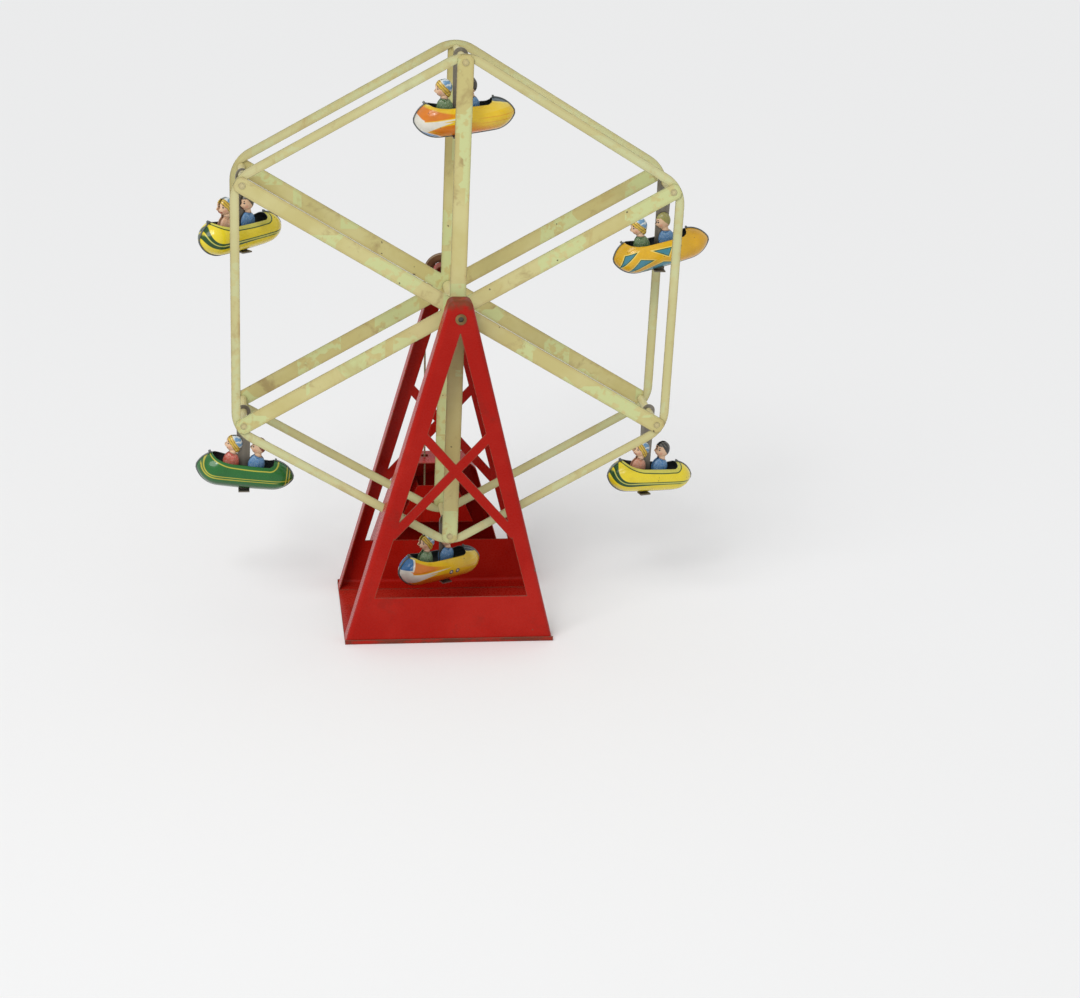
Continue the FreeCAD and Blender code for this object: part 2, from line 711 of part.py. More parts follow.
def make_hull_half(name, hand, letter, seat):
    """The near or the far half of a gondola's pressed hull, seamed along the middle."""
    body = new_body(name)
    outside = new_sketch(body, "XZ_Plane")
    hull_profile(outside, "0")
    solid = revolve(body, outside, "180")
    inside = new_sketch(body, "XZ_Plane")
    hull_profile(inside, "<hull_sheet>")
    hole = body.newObject("PartDesign::Groove", body.Name + "_hollow")
    hole.Profile = inside
    hole.ReferenceAxis = (inside, ["H_Axis"])
    hole.Angle = 360
    doc.recompute()
    if hand * solid.Shape.CenterOfMass.y < 0:
        solid.Reversed = True
        doc.recompute()
    cockpit = new_sketch(body, "XZ_Plane")
    top = "<hull_radius> + 1"
    front = "-<cockpit_front>"
    rear = "<cockpit_rear>"
    deck = "<hull_radius> - <deck_lip>"
    draw_outline(cockpit, [(front, top), (front, deck),
                           (front + " + <cockpit_front_slope>", "<rim_line>"),
                           (rear + " - <cockpit_rear_slope>", "<rim_line>"),
                           (rear, "<rim_line> + <cockpit_rear_slope>"), (rear, top)])
    pocket(body, cockpit, "4 * <hull_radius>", midplane=True)
    slot = new_sketch(body, "XY_Plane")
    lean = "<hull_tilt_%s>" % letter
    # the hanger crosses the belly under its pin, on a slant when the hull isn't level
    middle = "(-<hull_shift_%s> / cos(%s) - <hull_radius> * tan(%s))" % (letter, lean, lean)
    wide = ("((<hanger_foot_width> / 2 + <slot_gap>) / cos(%s)"
            " + 2 * <hull_sheet> * abs(tan(%s)))" % (lean, lean))
    deep = "<hanger_sheet> / 2 + <slot_gap>"
    left = "%s - %s" % (middle, wide)
    right = "%s + %s" % (middle, wide)
    draw_outline(slot, [(left, "-(%s)" % deep), (right, "-(%s)" % deep), (right, deep), (left, deep)])
    pocket(body, slot, "2 * <hull_radius>")
    place_twisted(body, *seat)
    return keep(body, name)


def make_riders(name, hand, letter, seat):
    """A pressed sheet that shows two riders, one side of the pair, with the hanger between."""
    body = new_body(name)
    plane = "<hanger_sheet> / 2 + <riders_gap>"
    sheet_face = "%d * (%s)" % (-hand, plane)
    # the panel stays inside the straight part of the hull, however short that is
    front = "max(<panel_front_gap> - <cockpit_front>; <nose_length> - <hull_length> / 2)"
    rear = "min(<cockpit_rear> - <panel_rear_gap>; <hull_length> / 2 - <tail_length>)"
    panel = new_sketch(body, "XZ_Plane", sheet_face)
    draw_outline(panel, [(front, hull_floor(front)), (rear, hull_floor(rear)),
                         (rear, "<seat_line>"), (front, "<seat_line>")])
    pad(body, panel, "<riders_sheet>", reverse=hand > 0)
    for seat_place in ("-<front_rider_place>", "<rear_rider_place>"):
        spot = "(%s + <riders_shift_%s>)" % (seat_place, letter)
        bust = new_sketch(body, "XZ_Plane", sheet_face)
        half = "<bust_width> / 2"
        neck = "<neck_width> / 2"
        shoulder = "<bust_top> - <shoulder_drop>"
        collar = "<bust_top> + <neck_height>"
        draw_outline(bust, [
            ("%s - %s" % (spot, half), "<bust_bottom>"), ("%s + %s" % (spot, half), "<bust_bottom>"),
            ("%s + %s" % (spot, half), shoulder), ("%s + %s" % (spot, neck), "<bust_top>"),
            ("%s + %s" % (spot, neck), collar), ("%s - %s" % (spot, neck), collar),
            ("%s - %s" % (spot, neck), "<bust_top>"), ("%s - %s" % (spot, half), shoulder)])
        pad(body, bust, "<bust_relief>", reverse=hand > 0)
        head = new_sketch(body, "XZ_Plane", sheet_face)
        draw_circle(head, (spot, "<head_top> - <head_radius>"), "<head_radius>")
        pad(body, head, "<head_relief>", reverse=hand > 0)
    place_twisted(body, *seat)
    return keep(body, name)


def make_hanger(name, letter, across, up):
    """A tapered tin strip that hangs on the spacer tube and ends in a tab bent under the hull."""
    body = new_body(name)
    drop = "<hull_drop_%s>" % letter
    head = "<hanger_head_radius>"
    foot = "<hanger_foot_width> / 2"
    # the tab lies as low as the lowest bit of hull above it
    lean = "<hull_tilt_%s>" % letter
    belly = "<hull_radius> / cos(%s) + <hull_shift_%s> * tan(%s)" % (lean, letter, lean)
    bottom = "-(%s + %s + %s * abs(tan(%s)) + <foot_gap>)" % (drop, belly, foot, lean)
    strip = new_sketch(body, "XZ_Plane")
    draw_outline(strip, [("-" + head, "0"), ("-" + foot, bottom + " - <hanger_sheet>"),
                         (foot, bottom + " - <hanger_sheet>"), (head, "0")],
                 {3: (head, False, "0")})
    pad(body, strip, "<hanger_sheet>", midplane=True)
    eye = new_sketch(body, "XZ_Plane")
    # a twisted strip needs a wider eye to pass the tube
    twist = "<twist_%s>" % letter
    draw_circle(eye, ("0", "0"), "<tube_radius> / cos(%s) + <hanger_sheet> / 2 * tan(%s)"
                " + <running_gap>" % (twist, twist))
    pocket(body, eye, "4 * <hanger_sheet>", midplane=True)
    tab = new_sketch(body, "XY_Plane", bottom)
    draw_outline(tab, [("-" + foot, "-<foot_reach>"), (foot, "-<foot_reach>"),
                       (foot, "0"), ("-" + foot, "0")])
    pad(body, tab, "<hanger_sheet>", reverse=True)
    place(body, across, "0", up, Z_AXIS, twist)
    return keep(body, name)


def make_gondola(step, letter):
    number = step + 1
    across, up = around_wheel(step)
    tube_half = "(<ring_offset> - <wheel_sheet> - <side_gap>)"
    tube = rod("spacer_tube_%d" % number, "<tube_radius>", "2 * " + tube_half, across,
               "-" + tube_half, up, bore="<pin_radius> + <running_gap>")
    keep(tube, "spacer_tube_%d" % number)
    make_hanger("hanger_%d" % number, letter, across, up)
    twist = "<twist_%s>" % letter
    shift = "<hull_shift_%s>" % letter
    seat = ("%s + %s * cos(%s)" % (across, shift, twist), "%s * sin(%s)" % (shift, twist),
            "%s - <hull_drop_%s>" % (up, letter), "<hull_tilt_%s>" % letter, twist)
    for side, hand in (("near", -1), ("far", 1)):
        make_hull_half("%s_shell_%d" % (side, number), hand, letter, seat)
        make_riders("%s_riders_%d" % (side, number), hand, letter, seat)


# ---- drive ----

COVER_BACK = "(<stand_depth> / 2 + <cover_depth>)"
SHAFT_END = "(%s + <boss_height> + <bush_flange> + <side_gap> + <arm_gap> + <arm_sheet>)" % COVER_BACK


def make_drive_cover():
    """The pressed box behind the rear frame, open to the front, with a round boss on its back."""
    body = new_body("drive_cover")
    outline = new_sketch(body, "XZ_Plane", "-<stand_depth> / 2")
    low = "<cover_bottom_width> / 2"
    high = "<cover_top_width> / 2"
    draw_outline(outline, [("-" + low, "<cover_bottom>"), (low, "<cover_bottom>"),
                           (high, "<cover_top>"), ("-" + high, "<cover_top>")])
    box = pad(body, outline, "<cover_depth>", reverse=True)
    tops = edges_where(box.Shape, lambda e: (
        e.BoundBox.YLength > 1 and e.BoundBox.ZMin > number_of("<cover_top>") - 0.01))
    topped = round_edges(body, box, tops, "<cover_top_round>")
    back = number_of(COVER_BACK)
    rim = edges_where(topped.Shape, lambda e: (
        all(abs(v.Y - back) < 1e-4 for v in e.Vertexes) and e.BoundBox.ZMax > 4))
    round_edges(body, topped, rim, "<cover_back_round>")
    boss = new_sketch(body, "XZ_Plane", "-" + COVER_BACK)
    draw_circle(boss, ("0", "<crank_height>"), "<boss_radius>")
    raised = pad(body, boss, "<boss_height>", reverse=True)
    open_side = faces_where(raised.Shape, lambda f: (
        f.BoundBox.YLength < 1e-4 and abs(f.CenterOfMass.y - number_of("<stand_depth> / 2")) < 0.01))
    hollow(body, raised, open_side, "<cover_sheet>")
    slots = new_sketch(body, "XY_Plane", "<cover_top> - <cover_sheet> - 1")
    rise = "(<cover_top> - <crank_height>) / (<hub_height> - <crank_height>)"
    cord_out = "(<pulley_radius> - <groove_depth> + <cord_play> + <cord_radius>)"
    cord_in = "(<drive_wheel_radius> - <groove_depth> + <cord_play> + <cord_radius>)"
    middle = "(%s + (%s - %s) * %s)" % (cord_in, cord_out, cord_in, rise)
    half_x = "<cord_slot_width> / 2"
    half_y = "<cord_slot_depth> / 2"
    for hand in (-1, 1):
        left = "%d * %s - %s" % (hand, middle, half_x)
        right = "%d * %s + %s" % (hand, middle, half_x)
        near = "<pulley_place> - " + half_y
        far = "<pulley_place> + " + half_y
        draw_outline(slots, [(left, near), (right, near), (right, far), (left, far)])
    pocket(body, slots, "<cover_sheet> + 3", reverse=True)
    shaft_hole = new_sketch(body, "XZ_Plane", "-(%s + <boss_height>)" % COVER_BACK)
    draw_circle(shaft_hole, ("0", "<crank_height>"), "<bush_barrel_radius>")
    pocket(body, shaft_hole, "<cover_sheet> + 1", reverse=True)
    return keep(body, "drive_cover")


def make_shaft_bracket():
    """A channel inside the cover that carries the front end of the crank shaft."""
    body = new_body("shaft_bracket")
    plate = new_sketch(body, "XZ_Plane", "-<bracket_place>")
    low = "<bracket_bottom_width> / 2"
    high = "<bracket_top_width> / 2"
    draw_outline(plate, [("-" + low, "<bracket_bottom>"), (low, "<bracket_bottom>"),
                         (high, "<bracket_top>"), ("-" + high, "<bracket_top>")])
    block = pad(body, plate, "%s - <cover_sheet> - <bracket_place>" % COVER_BACK, reverse=True)
    front = number_of("<bracket_place>")
    open_sides = faces_where(block.Shape, lambda f: (
        (f.BoundBox.YLength < 1e-4 and f.CenterOfMass.y > front + 1) or f.BoundBox.ZLength < 1e-4))
    hollow(body, block, open_sides, "<cover_sheet>")
    hole = new_sketch(body, "XZ_Plane", "-<bracket_place>")
    draw_circle(hole, ("0", "<crank_height>"), "<bush_barrel_radius>")
    pocket(body, hole, "<cover_sheet> + 0.2")
    return keep(body, "shaft_bracket")


def make_crank_bushes():
    """The eyelets of the crank shaft, in the bracket and in the cover's boss."""
    front = bush_turned("crank_bush_front", "<bracket_place> + <cover_sheet>", -1,
                        "<bush_barrel_radius>", "<shaft_radius> + <running_gap>",
                        "<bush_flange_radius>", "<cover_sheet>", "<crank_height>")
    rear = bush_turned("crank_bush_rear", "%s + <boss_height>" % COVER_BACK, -1,
                       "<bush_barrel_radius>", "<shaft_radius> + <running_gap>",
                       "<bush_flange_radius>", "<bush_reach>", "<crank_height>")
    return keep(group("crank_bushes", [front, rear]), "crank_bushes")


def make_crank_shaft():
    length = "%s - <shaft_front>" % SHAFT_END
    shaft = rod("crank_shaft", "<shaft_radius>", length, "0", "<shaft_front>", "<crank_height>")
    return keep(shaft, "crank_shaft")


def make_crank_arm():
    """A flat bar with round ends that hangs down from the shaft at rest."""
    body = new_body("crank_arm")
    face = "(%s - <arm_sheet>)" % SHAFT_END
    bar = new_sketch(body, "XZ_Plane", "-" + face)
    half = "<arm_width> / 2"
    draw_outline(bar, [("-" + half, "0"), ("-" + half, "-<arm_length>"), (half, "-<arm_length>"),
                       (half, "0")], {1: (half, False, "-<arm_length>"), 3: (half, False, "0")})
    pad(body, bar, "<arm_sheet>", reverse=True)
    holes = new_sketch(body, "XZ_Plane", "-" + face)
    draw_circle(holes, ("0", "0"), "<shaft_radius> + <running_gap>")
    draw_circle(holes, ("0", "-<arm_length>"), "<knob_pin_radius> + <running_gap>")
    pocket(body, holes, "<arm_sheet>")
    place(body, up="<crank_height>")
    return keep(body, "crank_arm")


def make_knob_pin():
    """The headed pin that the grip turns on, riveted into the arm."""
    up = "<crank_height> - <arm_length>"
    inner = "(%s - <arm_sheet>)" % SHAFT_END
    grip_end = "(%s + 2 * <side_gap> + <knob_length>)" % SHAFT_END
    shank = rod("knob_pin_shank", "<knob_pin_radius>", "%s - %s" % (grip_end, inner), "0", inner, up)
    head = rod("knob_pin_head", "<knob_pin_head_radius>", "<knob_pin_head>", "0", grip_end, up)
    return keep(join("knob_pin", [shank, head]), "knob_pin")


def make_crank_knob():
    """The turned grip: a waisted barrel with a rounded end."""
    body = new_body("crank_knob")
    profile = new_sketch(body, "YZ_Plane")
    bore = "<knob_pin_radius> + <running_gap>"
    end = "<knob_length>"
    neck = "<knob_neck_radius>"
    wide = "<knob_radius>"
    shoulder = end + " - <knob_end_round>"
    middle = end + " / 2"
    draw_outline(profile, [("0", bore), (end, bore), (end, wide + " - <knob_end_round> / 2"),
                           (shoulder, wide), (middle, wide + " - <knob_waist>"),
                           ("<knob_flare>", neck), ("0", wide + " - 2 * <knob_waist>")],
                 {2: ("<knob_end_round>", False)})
    revolve(body, profile)
    place(body, back="%s + <side_gap>" % SHAFT_END, up="<crank_height> - <arm_length>")
    return keep(body, "crank_knob")


def make_drive_cord():
    """The endless cord from the crank's wheel up to the axle's wheel: two arcs and two runs."""
    upper = number_of("<pulley_radius> - <groove_depth> + <cord_play> + <cord_radius>")
    lower = number_of("<drive_wheel_radius> - <groove_depth> + <cord_play> + <cord_radius>")
    top, bottom = number_of("<hub_height>"), number_of("<crank_height>")
    back, radius = number_of("<pulley_place>"), number_of("<cord_radius>")
    lean = math.asin((upper - lower) / (top - bottom))

    def touch(hand, wheel, height):
        return FreeCAD.Vector(hand * wheel * math.cos(lean), back, height - wheel * math.sin(lean))

    crown = FreeCAD.Vector(0, back, top + upper)
    sag = FreeCAD.Vector(0, back, bottom - lower)
    path = Part.Wire([
        Part.Arc(touch(-1, upper, top), crown, touch(1, upper, top)).toShape(),
        Part.LineSegment(touch(1, upper, top), touch(1, lower, bottom)).toShape(),
        Part.Arc(touch(1, lower, bottom), sag, touch(-1, lower, bottom)).toShape(),
        Part.LineSegment(touch(-1, lower, bottom), touch(-1, upper, top)).toShape()])
    start = touch(-1, upper, top)
    along = path.Edges[0].tangentAt(path.Edges[0].FirstParameter)
    section = Part.Wire([Part.Circle(start, along, radius).toShape()])
    tube = path.makePipeShell([section], True, False)
    expected = math.pi * radius ** 2 * path.Length
    if abs(tube.Volume - expected) > 0.01 * expected:
        raise RuntimeError("drive_cord: volume %.2f against %.2f" % (tube.Volume, expected))
    print("drive_cord: length %.1f, radii %.2f and %.2f" % (path.Length, upper, lower))
    cord = doc.addObject("Part::Feature", "drive_cord_loop")
    cord.Shape = tube
    cord.Placement = FreeCAD.Placement()
    return keep(cord, "drive_cord")


# ---- assembly ----

make_frame("front_frame", "0")
make_frame("rear_frame", "180")
make_base_plate()
make_axle_bushes()
make_drive_cover()
make_shaft_bracket()
make_crank_bushes()
make_drive_cord()

make_axle()
make_hub_tube()
for side_name, side_hand in (("front", -1), ("rear", 1)):
    make_spokes(side_name + "_spokes", side_hand)
    make_rim(side_name + "_rim", side_hand)
    make_hub_disc(side_name + "_hub_disc", side_hand)
make_gondola_pins()
grooved_wheel("drive_pulley", "<pulley_radius>", "<hub_height>", 5)

make_crank_shaft()
grooved_wheel("drive_wheel", "<drive_wheel_radius>", "<crank_height>", 0)
make_crank_arm()
make_knob_pin()
make_crank_knob()

for place_number, place_letter in enumerate(GONDOLAS):
    make_gondola(place_number, place_letter)

doc.recompute()

for item in doc.Objects:
    if "Invalid" in item.State or "Error" in item.State:
        raise RuntimeError("%s (%s) failed: %s" % (item.Name, item.Label, item.State))
for item in nodes:
    if item.Shape.isNull() or not item.Shape.isValid() or not item.Shape.Solids:
        raise RuntimeError(item.Label + " has no valid solid")

os.makedirs("parts", exist_ok=True)
for item in nodes:
    item.Shape.exportStep(os.path.join("parts", item.Label + ".step"))
    print("%s: %d solid, volume %.1f" % (item.Label, len(item.Shape.Solids), item.Shape.Volume))
print("%d nodes" % len(nodes))
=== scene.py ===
import math

import bmesh
import bpy
from mathutils import Euler, Matrix, Vector


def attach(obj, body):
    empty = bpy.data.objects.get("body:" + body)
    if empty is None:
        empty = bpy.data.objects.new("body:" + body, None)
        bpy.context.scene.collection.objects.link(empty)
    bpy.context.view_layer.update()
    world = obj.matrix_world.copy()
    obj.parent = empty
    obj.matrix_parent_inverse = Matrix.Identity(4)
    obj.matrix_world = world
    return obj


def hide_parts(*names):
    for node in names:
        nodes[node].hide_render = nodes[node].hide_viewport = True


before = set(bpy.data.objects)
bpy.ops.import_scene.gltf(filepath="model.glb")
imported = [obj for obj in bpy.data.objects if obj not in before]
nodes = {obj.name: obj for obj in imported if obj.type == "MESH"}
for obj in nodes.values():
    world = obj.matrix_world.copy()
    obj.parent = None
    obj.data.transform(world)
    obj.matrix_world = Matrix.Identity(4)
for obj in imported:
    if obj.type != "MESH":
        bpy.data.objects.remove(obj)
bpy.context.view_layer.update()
mm = 0.001
gondolaNumbers = range(1, 7)


# node helpers: a value is either a socket to link or a plain number or colour


def addNode(tree, kind, **settings):
    node = tree.nodes.new("ShaderNode" + kind)
    for key, value in settings.items():
        setattr(node, key, value)
    return node


def feed(tree, socket, value):
    if isinstance(value, bpy.types.NodeSocket):
        tree.links.new(value, socket)
    elif isinstance(value, tuple) and len(value) == 3 and socket.type == "RGBA":
        socket.default_value = (*value, 1.0)
    else:
        socket.default_value = value


def feedAll(tree, node, values):
    for name, value in values.items():
        feed(tree, node.inputs[name], value)
    return node.outputs


def calc(tree, operation, a, b=0.0, clamp=False):
    node = addNode(tree, "Math", operation=operation, use_clamp=clamp)
    return feedAll(tree, node, {0: a, 1: b})[0]


def plus(tree, a, b):
    return calc(tree, "ADD", a, b)


def minus(tree, a, b):
    return calc(tree, "SUBTRACT", a, b)


def times(tree, a, b):
    return calc(tree, "MULTIPLY", a, b)


def blend(tree, factor, a, b, mode="MIX"):
    node = addNode(tree, "Mix", data_type="RGBA", blend_type=mode)
    return feedAll(tree, node, {0: factor, 6: a, 7: b})[2]


def span(tree, value, low, high, outLow=0.0, outHigh=1.0):
    node = addNode(tree, "MapRange", interpolation_type="SMOOTHSTEP")
    limits = {"Value": value, "From Min": low, "From Max": high, "To Min": outLow, "To Max": outHigh}
    return feedAll(tree, node, limits)["Result"]


def noise(tree, vector, scale, detail=3.0, rough=0.55, warp=0.0):
    values = {"Vector": vector, "Scale": scale, "Detail": detail, "Roughness": rough, "Distortion": warp}
    return feedAll(tree, addNode(tree, "TexNoise"), values)[0]


def stretched(tree, vector, scale):
    node = addNode(tree, "Mapping")
    return feedAll(tree, node, {"Vector": vector, "Scale": scale})["Vector"]


def split(tree, vector):
    return feedAll(tree, addNode(tree, "SeparateXYZ"), {0: vector})


def objectPlace(tree):
    return addNode(tree, "TexCoord").outputs["Object"]


def newGroup(name, inputs, outputs):
    group = bpy.data.node_groups.new(name, "ShaderNodeTree")
    for label, kind, start in inputs:
        socket = group.interface.new_socket(label, in_out="INPUT", socket_type="NodeSocket" + kind)
        if kind != "Vector":
            socket.default_value = start
    for label, kind in outputs:
        group.interface.new_socket(label, in_out="OUTPUT", socket_type="NodeSocket" + kind)
    given, out = group.nodes.new("NodeGroupInput"), group.nodes.new("NodeGroupOutput")
    return group, given.outputs, out.inputs


def useGroup(tree, group, **values):
    node = addNode(tree, "Group", node_tree=group)
    return feedAll(tree, node, values)


def newMaterial(name):
    material = bpy.data.materials.new(name)
    material.use_nodes = True
    tree = material.node_tree
    return material, tree, tree.nodes["Principled BSDF"]


def finishShader(tree, shader, color, roughness, metallic=0.0, height=None, depth=0.1, coat=0.0,
                 specular=0.5):
    feedAll(tree, shader, {"Base Color": color, "Roughness": roughness, "Metallic": metallic,
                           "Coat Weight": coat, "Specular IOR Level": specular})
    if height is not None:
        bump = addNode(tree, "Bump")
        feedAll(tree, bump, {"Strength": 0.5, "Distance": depth * mm, "Height": height})
        feed(tree, shader.inputs["Normal"], bump.outputs["Normal"])


# camera, light and floor

viewSettings = {
    "place": (-0.13157, -1.15020, 0.53424),
    "turn": (68.574, -2.758, -8.372),  # degrees about X, Y and Z
    "lens": 65.72,
    "sensor": 36.0,
}

stageSettings = {
    "floorSize": 60.0,
    "floorColor": (0.865, 0.868, 0.872),
    "skyColor": (1.0, 1.0, 1.0),
    "skyStrength": 0.62,
    "backdropColor": (0.83, 0.84, 0.84),
    "sunStrength": 1.55,
    "sunWidth": 38.0,  # degrees across, for soft shadows
    "sunPlace": (-0.75, -1.0, 1.35),
    "lampPower": 1.3,
    "lampSize": 0.17,
    "lampPlace": (-0.35, -0.75, 0.95),
    "lampAim": (0.0, 0.0, 0.18),
    "floorRoughness": 0.9,
}


def makeCamera():
    data = bpy.data.cameras.new("camera")
    data.lens = viewSettings["lens"]
    data.sensor_fit = "HORIZONTAL"
    data.sensor_width = viewSettings["sensor"]
    camera = bpy.data.objects.new("camera", data)
    camera.location = viewSettings["place"]
    camera.rotation_euler = Euler([math.radians(a) for a in viewSettings["turn"]])
    bpy.context.scene.collection.objects.link(camera)
    bpy.context.scene.camera = camera


def makeLamp(name, kind, place, power, size):
    data = bpy.data.lights.new(name, kind)
    data.energy = power
    if kind == "SUN":
        data.angle = math.radians(size)
    else:
        data.shape = "DISK"
        data.size = size
    lamp = bpy.data.objects.new(name, data)
    lamp.location = place
    aim = Vector(stageSettings["lampAim"]) - Vector(place)
    lamp.rotation_euler = aim.to_track_quat("-Z", "Y").to_euler()
    bpy.context.scene.collection.objects.link(lamp)


def makeStage():
    s = stageSettings
    world = bpy.data.worlds.new("studio")
    world.use_nodes = True
    tree = world.node_tree
    light = feedAll(tree, tree.nodes["Background"], {"Color": s["skyColor"], "Strength": s["skyStrength"]})
    # what is seen straight on or in a shiny surface is a pale backdrop
    backdrop = feedAll(tree, addNode(tree, "Background"), {"Color": s["backdropColor"]})
    path = addNode(tree, "LightPath").outputs
    seen = calc(tree, "MAXIMUM", path["Is Camera Ray"], path["Is Glossy Ray"])
    mix = feedAll(tree, addNode(tree, "MixShader"), {0: seen, 1: light[0], 2: backdrop[0]})
    feed(tree, tree.nodes["World Output"].inputs["Surface"], mix[0])
    bpy.context.scene.world = world
    makeLamp("sun", "SUN", s["sunPlace"], s["sunStrength"], s["sunWidth"])
    makeLamp("softLamp", "AREA", s["lampPlace"], s["lampPower"], s["lampSize"])
    mesh = bpy.data.meshes.new("floor")
    bm = bmesh.new()
    bmesh.ops.create_grid(bm, x_segments=1, y_segments=1, size=s["floorSize"] / 2)
    bm.to_mesh(mesh)
    bm.free()
    floor = bpy.data.objects.new("floor", mesh)
    bpy.context.scene.collection.objects.link(floor)
    material, tree, shader = newMaterial("floorPaper")
    finishShader(tree, shader, s["floorColor"], s["floorRoughness"], specular=0.0)
    mesh.materials.append(material)


makeCamera()
makeStage()
bpy.context.scene.view_settings.view_transform = "Standard"
print("stage ready")


# where each mask of the wear sets in, and how fine it is
wearSettings = {
    "edgeSamples": 4, "edgeSpan": (0.97, 0.80), "edgeNoise": 0.7, "edgeSharpness": 9.0,
    "warpScale": 260.0, "warpReach": (0.004, 0.004, 0.004),
    "scratchWidth": 0.03, "scratchPatches": 14.0, "scratchSpan": (0.5, 0.62),
    "fadeSpan": (0.42, 0.66), "dirtSpan": (0.55, 0.72), "dirtScale": 2.7,
    "chipSize": 0.09, "bareReach": 0.9 * mm,
}


# wear along the edges of a sheet, broken up by noise
def makeEdgeWear():
    w = wearSettings
    group, given, out = newGroup("edgeWear", [
        ("Place", "Vector", None), ("Reach", "Float", 0.0008), ("Amount", "Float", 0.5),
        ("Grain", "Float", 300.0)], [("Mask", "Float")])
    bevel = addNode(group, "Bevel", samples=w["edgeSamples"])
    rounded = feedAll(group, bevel, {"Radius": given["Reach"]})[0]
    plain = addNode(group, "NewGeometry").outputs["Normal"]
    dot = addNode(group, "VectorMath", operation="DOT_PRODUCT")
    edge = span(group, feedAll(group, dot, {0: rounded, 1: plain})["Value"], *w["edgeSpan"])
    broken = noise(group, given["Place"], given["Grain"], 4.0, 0.7)
    limit = minus(group, 1.0, given["Amount"])
    worn = minus(group, times(group, edge, broken), times(group, limit, w["edgeNoise"]))
    feed(group, out["Mask"], calc(group, "MULTIPLY", worn, w["edgeSharpness"], clamp=True))
    return group


# small round chips and specks
def makeSpecks():
    group, given, out = newGroup("specks", [
        ("Place", "Vector", None), ("Scale", "Float", 120.0), ("Share", "Float", 0.2),
        ("Size", "Float", 0.25)], [("Mask", "Float")])
    warp = feedAll(group, addNode(group, "TexNoise"), {
        "Vector": given["Place"], "Scale": wearSettings["warpScale"]})[1]
    nudge = feedAll(group, addNode(group, "VectorMath", operation="MULTIPLY_ADD"), {
        0: warp, 1: wearSettings["warpReach"], 2: given["Place"]})[0]
    cells = feedAll(group, addNode(group, "TexVoronoi"), {"Vector": nudge, "Scale": given["Scale"]})
    chosen = calc(group, "LESS_THAN", split(group, cells["Color"])[0], given["Share"])
    spot = calc(group, "LESS_THAN", cells["Distance"], given["Size"])
    feed(group, out["Mask"], times(group, chosen, spot))
    return group


# thin scratches along one direction
def makeScratches():
    w = wearSettings
    group, given, out = newGroup("scratches", [
        ("Place", "Vector", None), ("Scale", "Float", 90.0), ("Limit", "Float", 0.68)],
        [("Mask", "Float")])
    streak = noise(group, given["Place"], given["Scale"], 2.0, 0.5, 0.3)
    patch = noise(group, objectPlace(group), w["scratchPatches"], 1.0)
    thin = span(group, streak, given["Limit"], plus(group, given["Limit"], w["scratchWidth"]))
    feed(group, out["Mask"], times(group, thin, span(group, patch, *w["scratchSpan"])))
    return group


# slow changes of tone, such as fading, dirt and hand marks
def makeTone():
    w = wearSettings
    group, given, out = newGroup("tone", [
        ("Place", "Vector", None), ("Base", "Color", (1, 1, 1, 1)), ("Faded", "Color", (1, 1, 1, 1)),
        ("Grime", "Color", (0, 0, 0, 1)), ("Scale", "Float", 20.0), ("Fading", "Float", 0.5),
        ("Dirt", "Float", 0.3)], [("Color", "Color"), ("Height", "Float")])
    slow = noise(group, given["Place"], given["Scale"], 4.0, 0.6)
    fade = times(group, span(group, slow, *w["fadeSpan"]), given["Fading"])
    color = blend(group, fade, given["Base"], given["Faded"])
    blot = noise(group, given["Place"], times(group, given["Scale"], w["dirtScale"]), 5.0, 0.65, 0.4)
    grime = times(group, span(group, blot, *w["dirtSpan"]), given["Dirt"])
    feed(group, out["Color"], blend(group, grime, color, given["Grime"]))
    feed(group, out["Height"], slow)
    return group


edgeWear = makeEdgeWear()
specks = makeSpecks()
scratches = makeScratches()
tone = makeTone()


def dress(name, material):
    node = nodes[name]
    node.data.materials.clear()
    node.data.materials.append(material)


def toned(tree, place, s, scale):
    return useGroup(tree, tone, Place=place, Base=s["paint"], Faded=s["faded"], Grime=s["grime"],
                    Scale=scale, Fading=s["fading"], Dirt=s["dirt"])


# chips and worn edges, where a lacquer is gone
def bareSpots(tree, place, share, wear, chipScale, edgeGrain):
    w = wearSettings
    chips = useGroup(tree, specks, Place=place, Scale=chipScale, Share=share, Size=w["chipSize"])
    edge = useGroup(tree, edgeWear, Place=place, Reach=w["bareReach"], Amount=wear, Grain=edgeGrain)
    return calc(tree, "MAXIMUM", chips["Mask"], edge["Mask"])


# red lacquer of the stand

lacquerSettings = {
    "redLacquer": {
        "paint": (0.335, 0.007, 0.003), "faded": (0.405, 0.016, 0.009), "grime": (0.17, 0.014, 0.008),
        "fading": 0.75, "dirt": 0.35, "wear": 0.52, "wornAndLitTop": 0.85, "chipShare": 0.10, "hem": 0.0},
    "coverLacquer": {
        "paint": (0.35, 0.006, 0.003), "faded": (0.40, 0.012, 0.006), "grime": (0.16, 0.008, 0.004),
        "fading": 0.6, "dirt": 0.35, "wear": 0.45, "wornAndLitTop": 0.0, "chipShare": 0.05, "hem": 0.0},
    "floorLacquer": {
        "paint": (0.36, 0.014, 0.008), "faded": (0.42, 0.026, 0.015), "grime": (0.09, 0.030, 0.020),
        "fading": 0.7, "dirt": 0.6, "wear": 0.85, "wornAndLitTop": 0.0, "chipShare": 0.22, "hem": 0.9},
}
tinColor = (0.16, 0.115, 0.075)
# brown of the caps on the frame tops, partly rubbed undercoat and partly painted highlight
capUndercoatAndSheen = (0.14, 0.045, 0.020)
hemColor = (0.115, 0.035, 0.020)
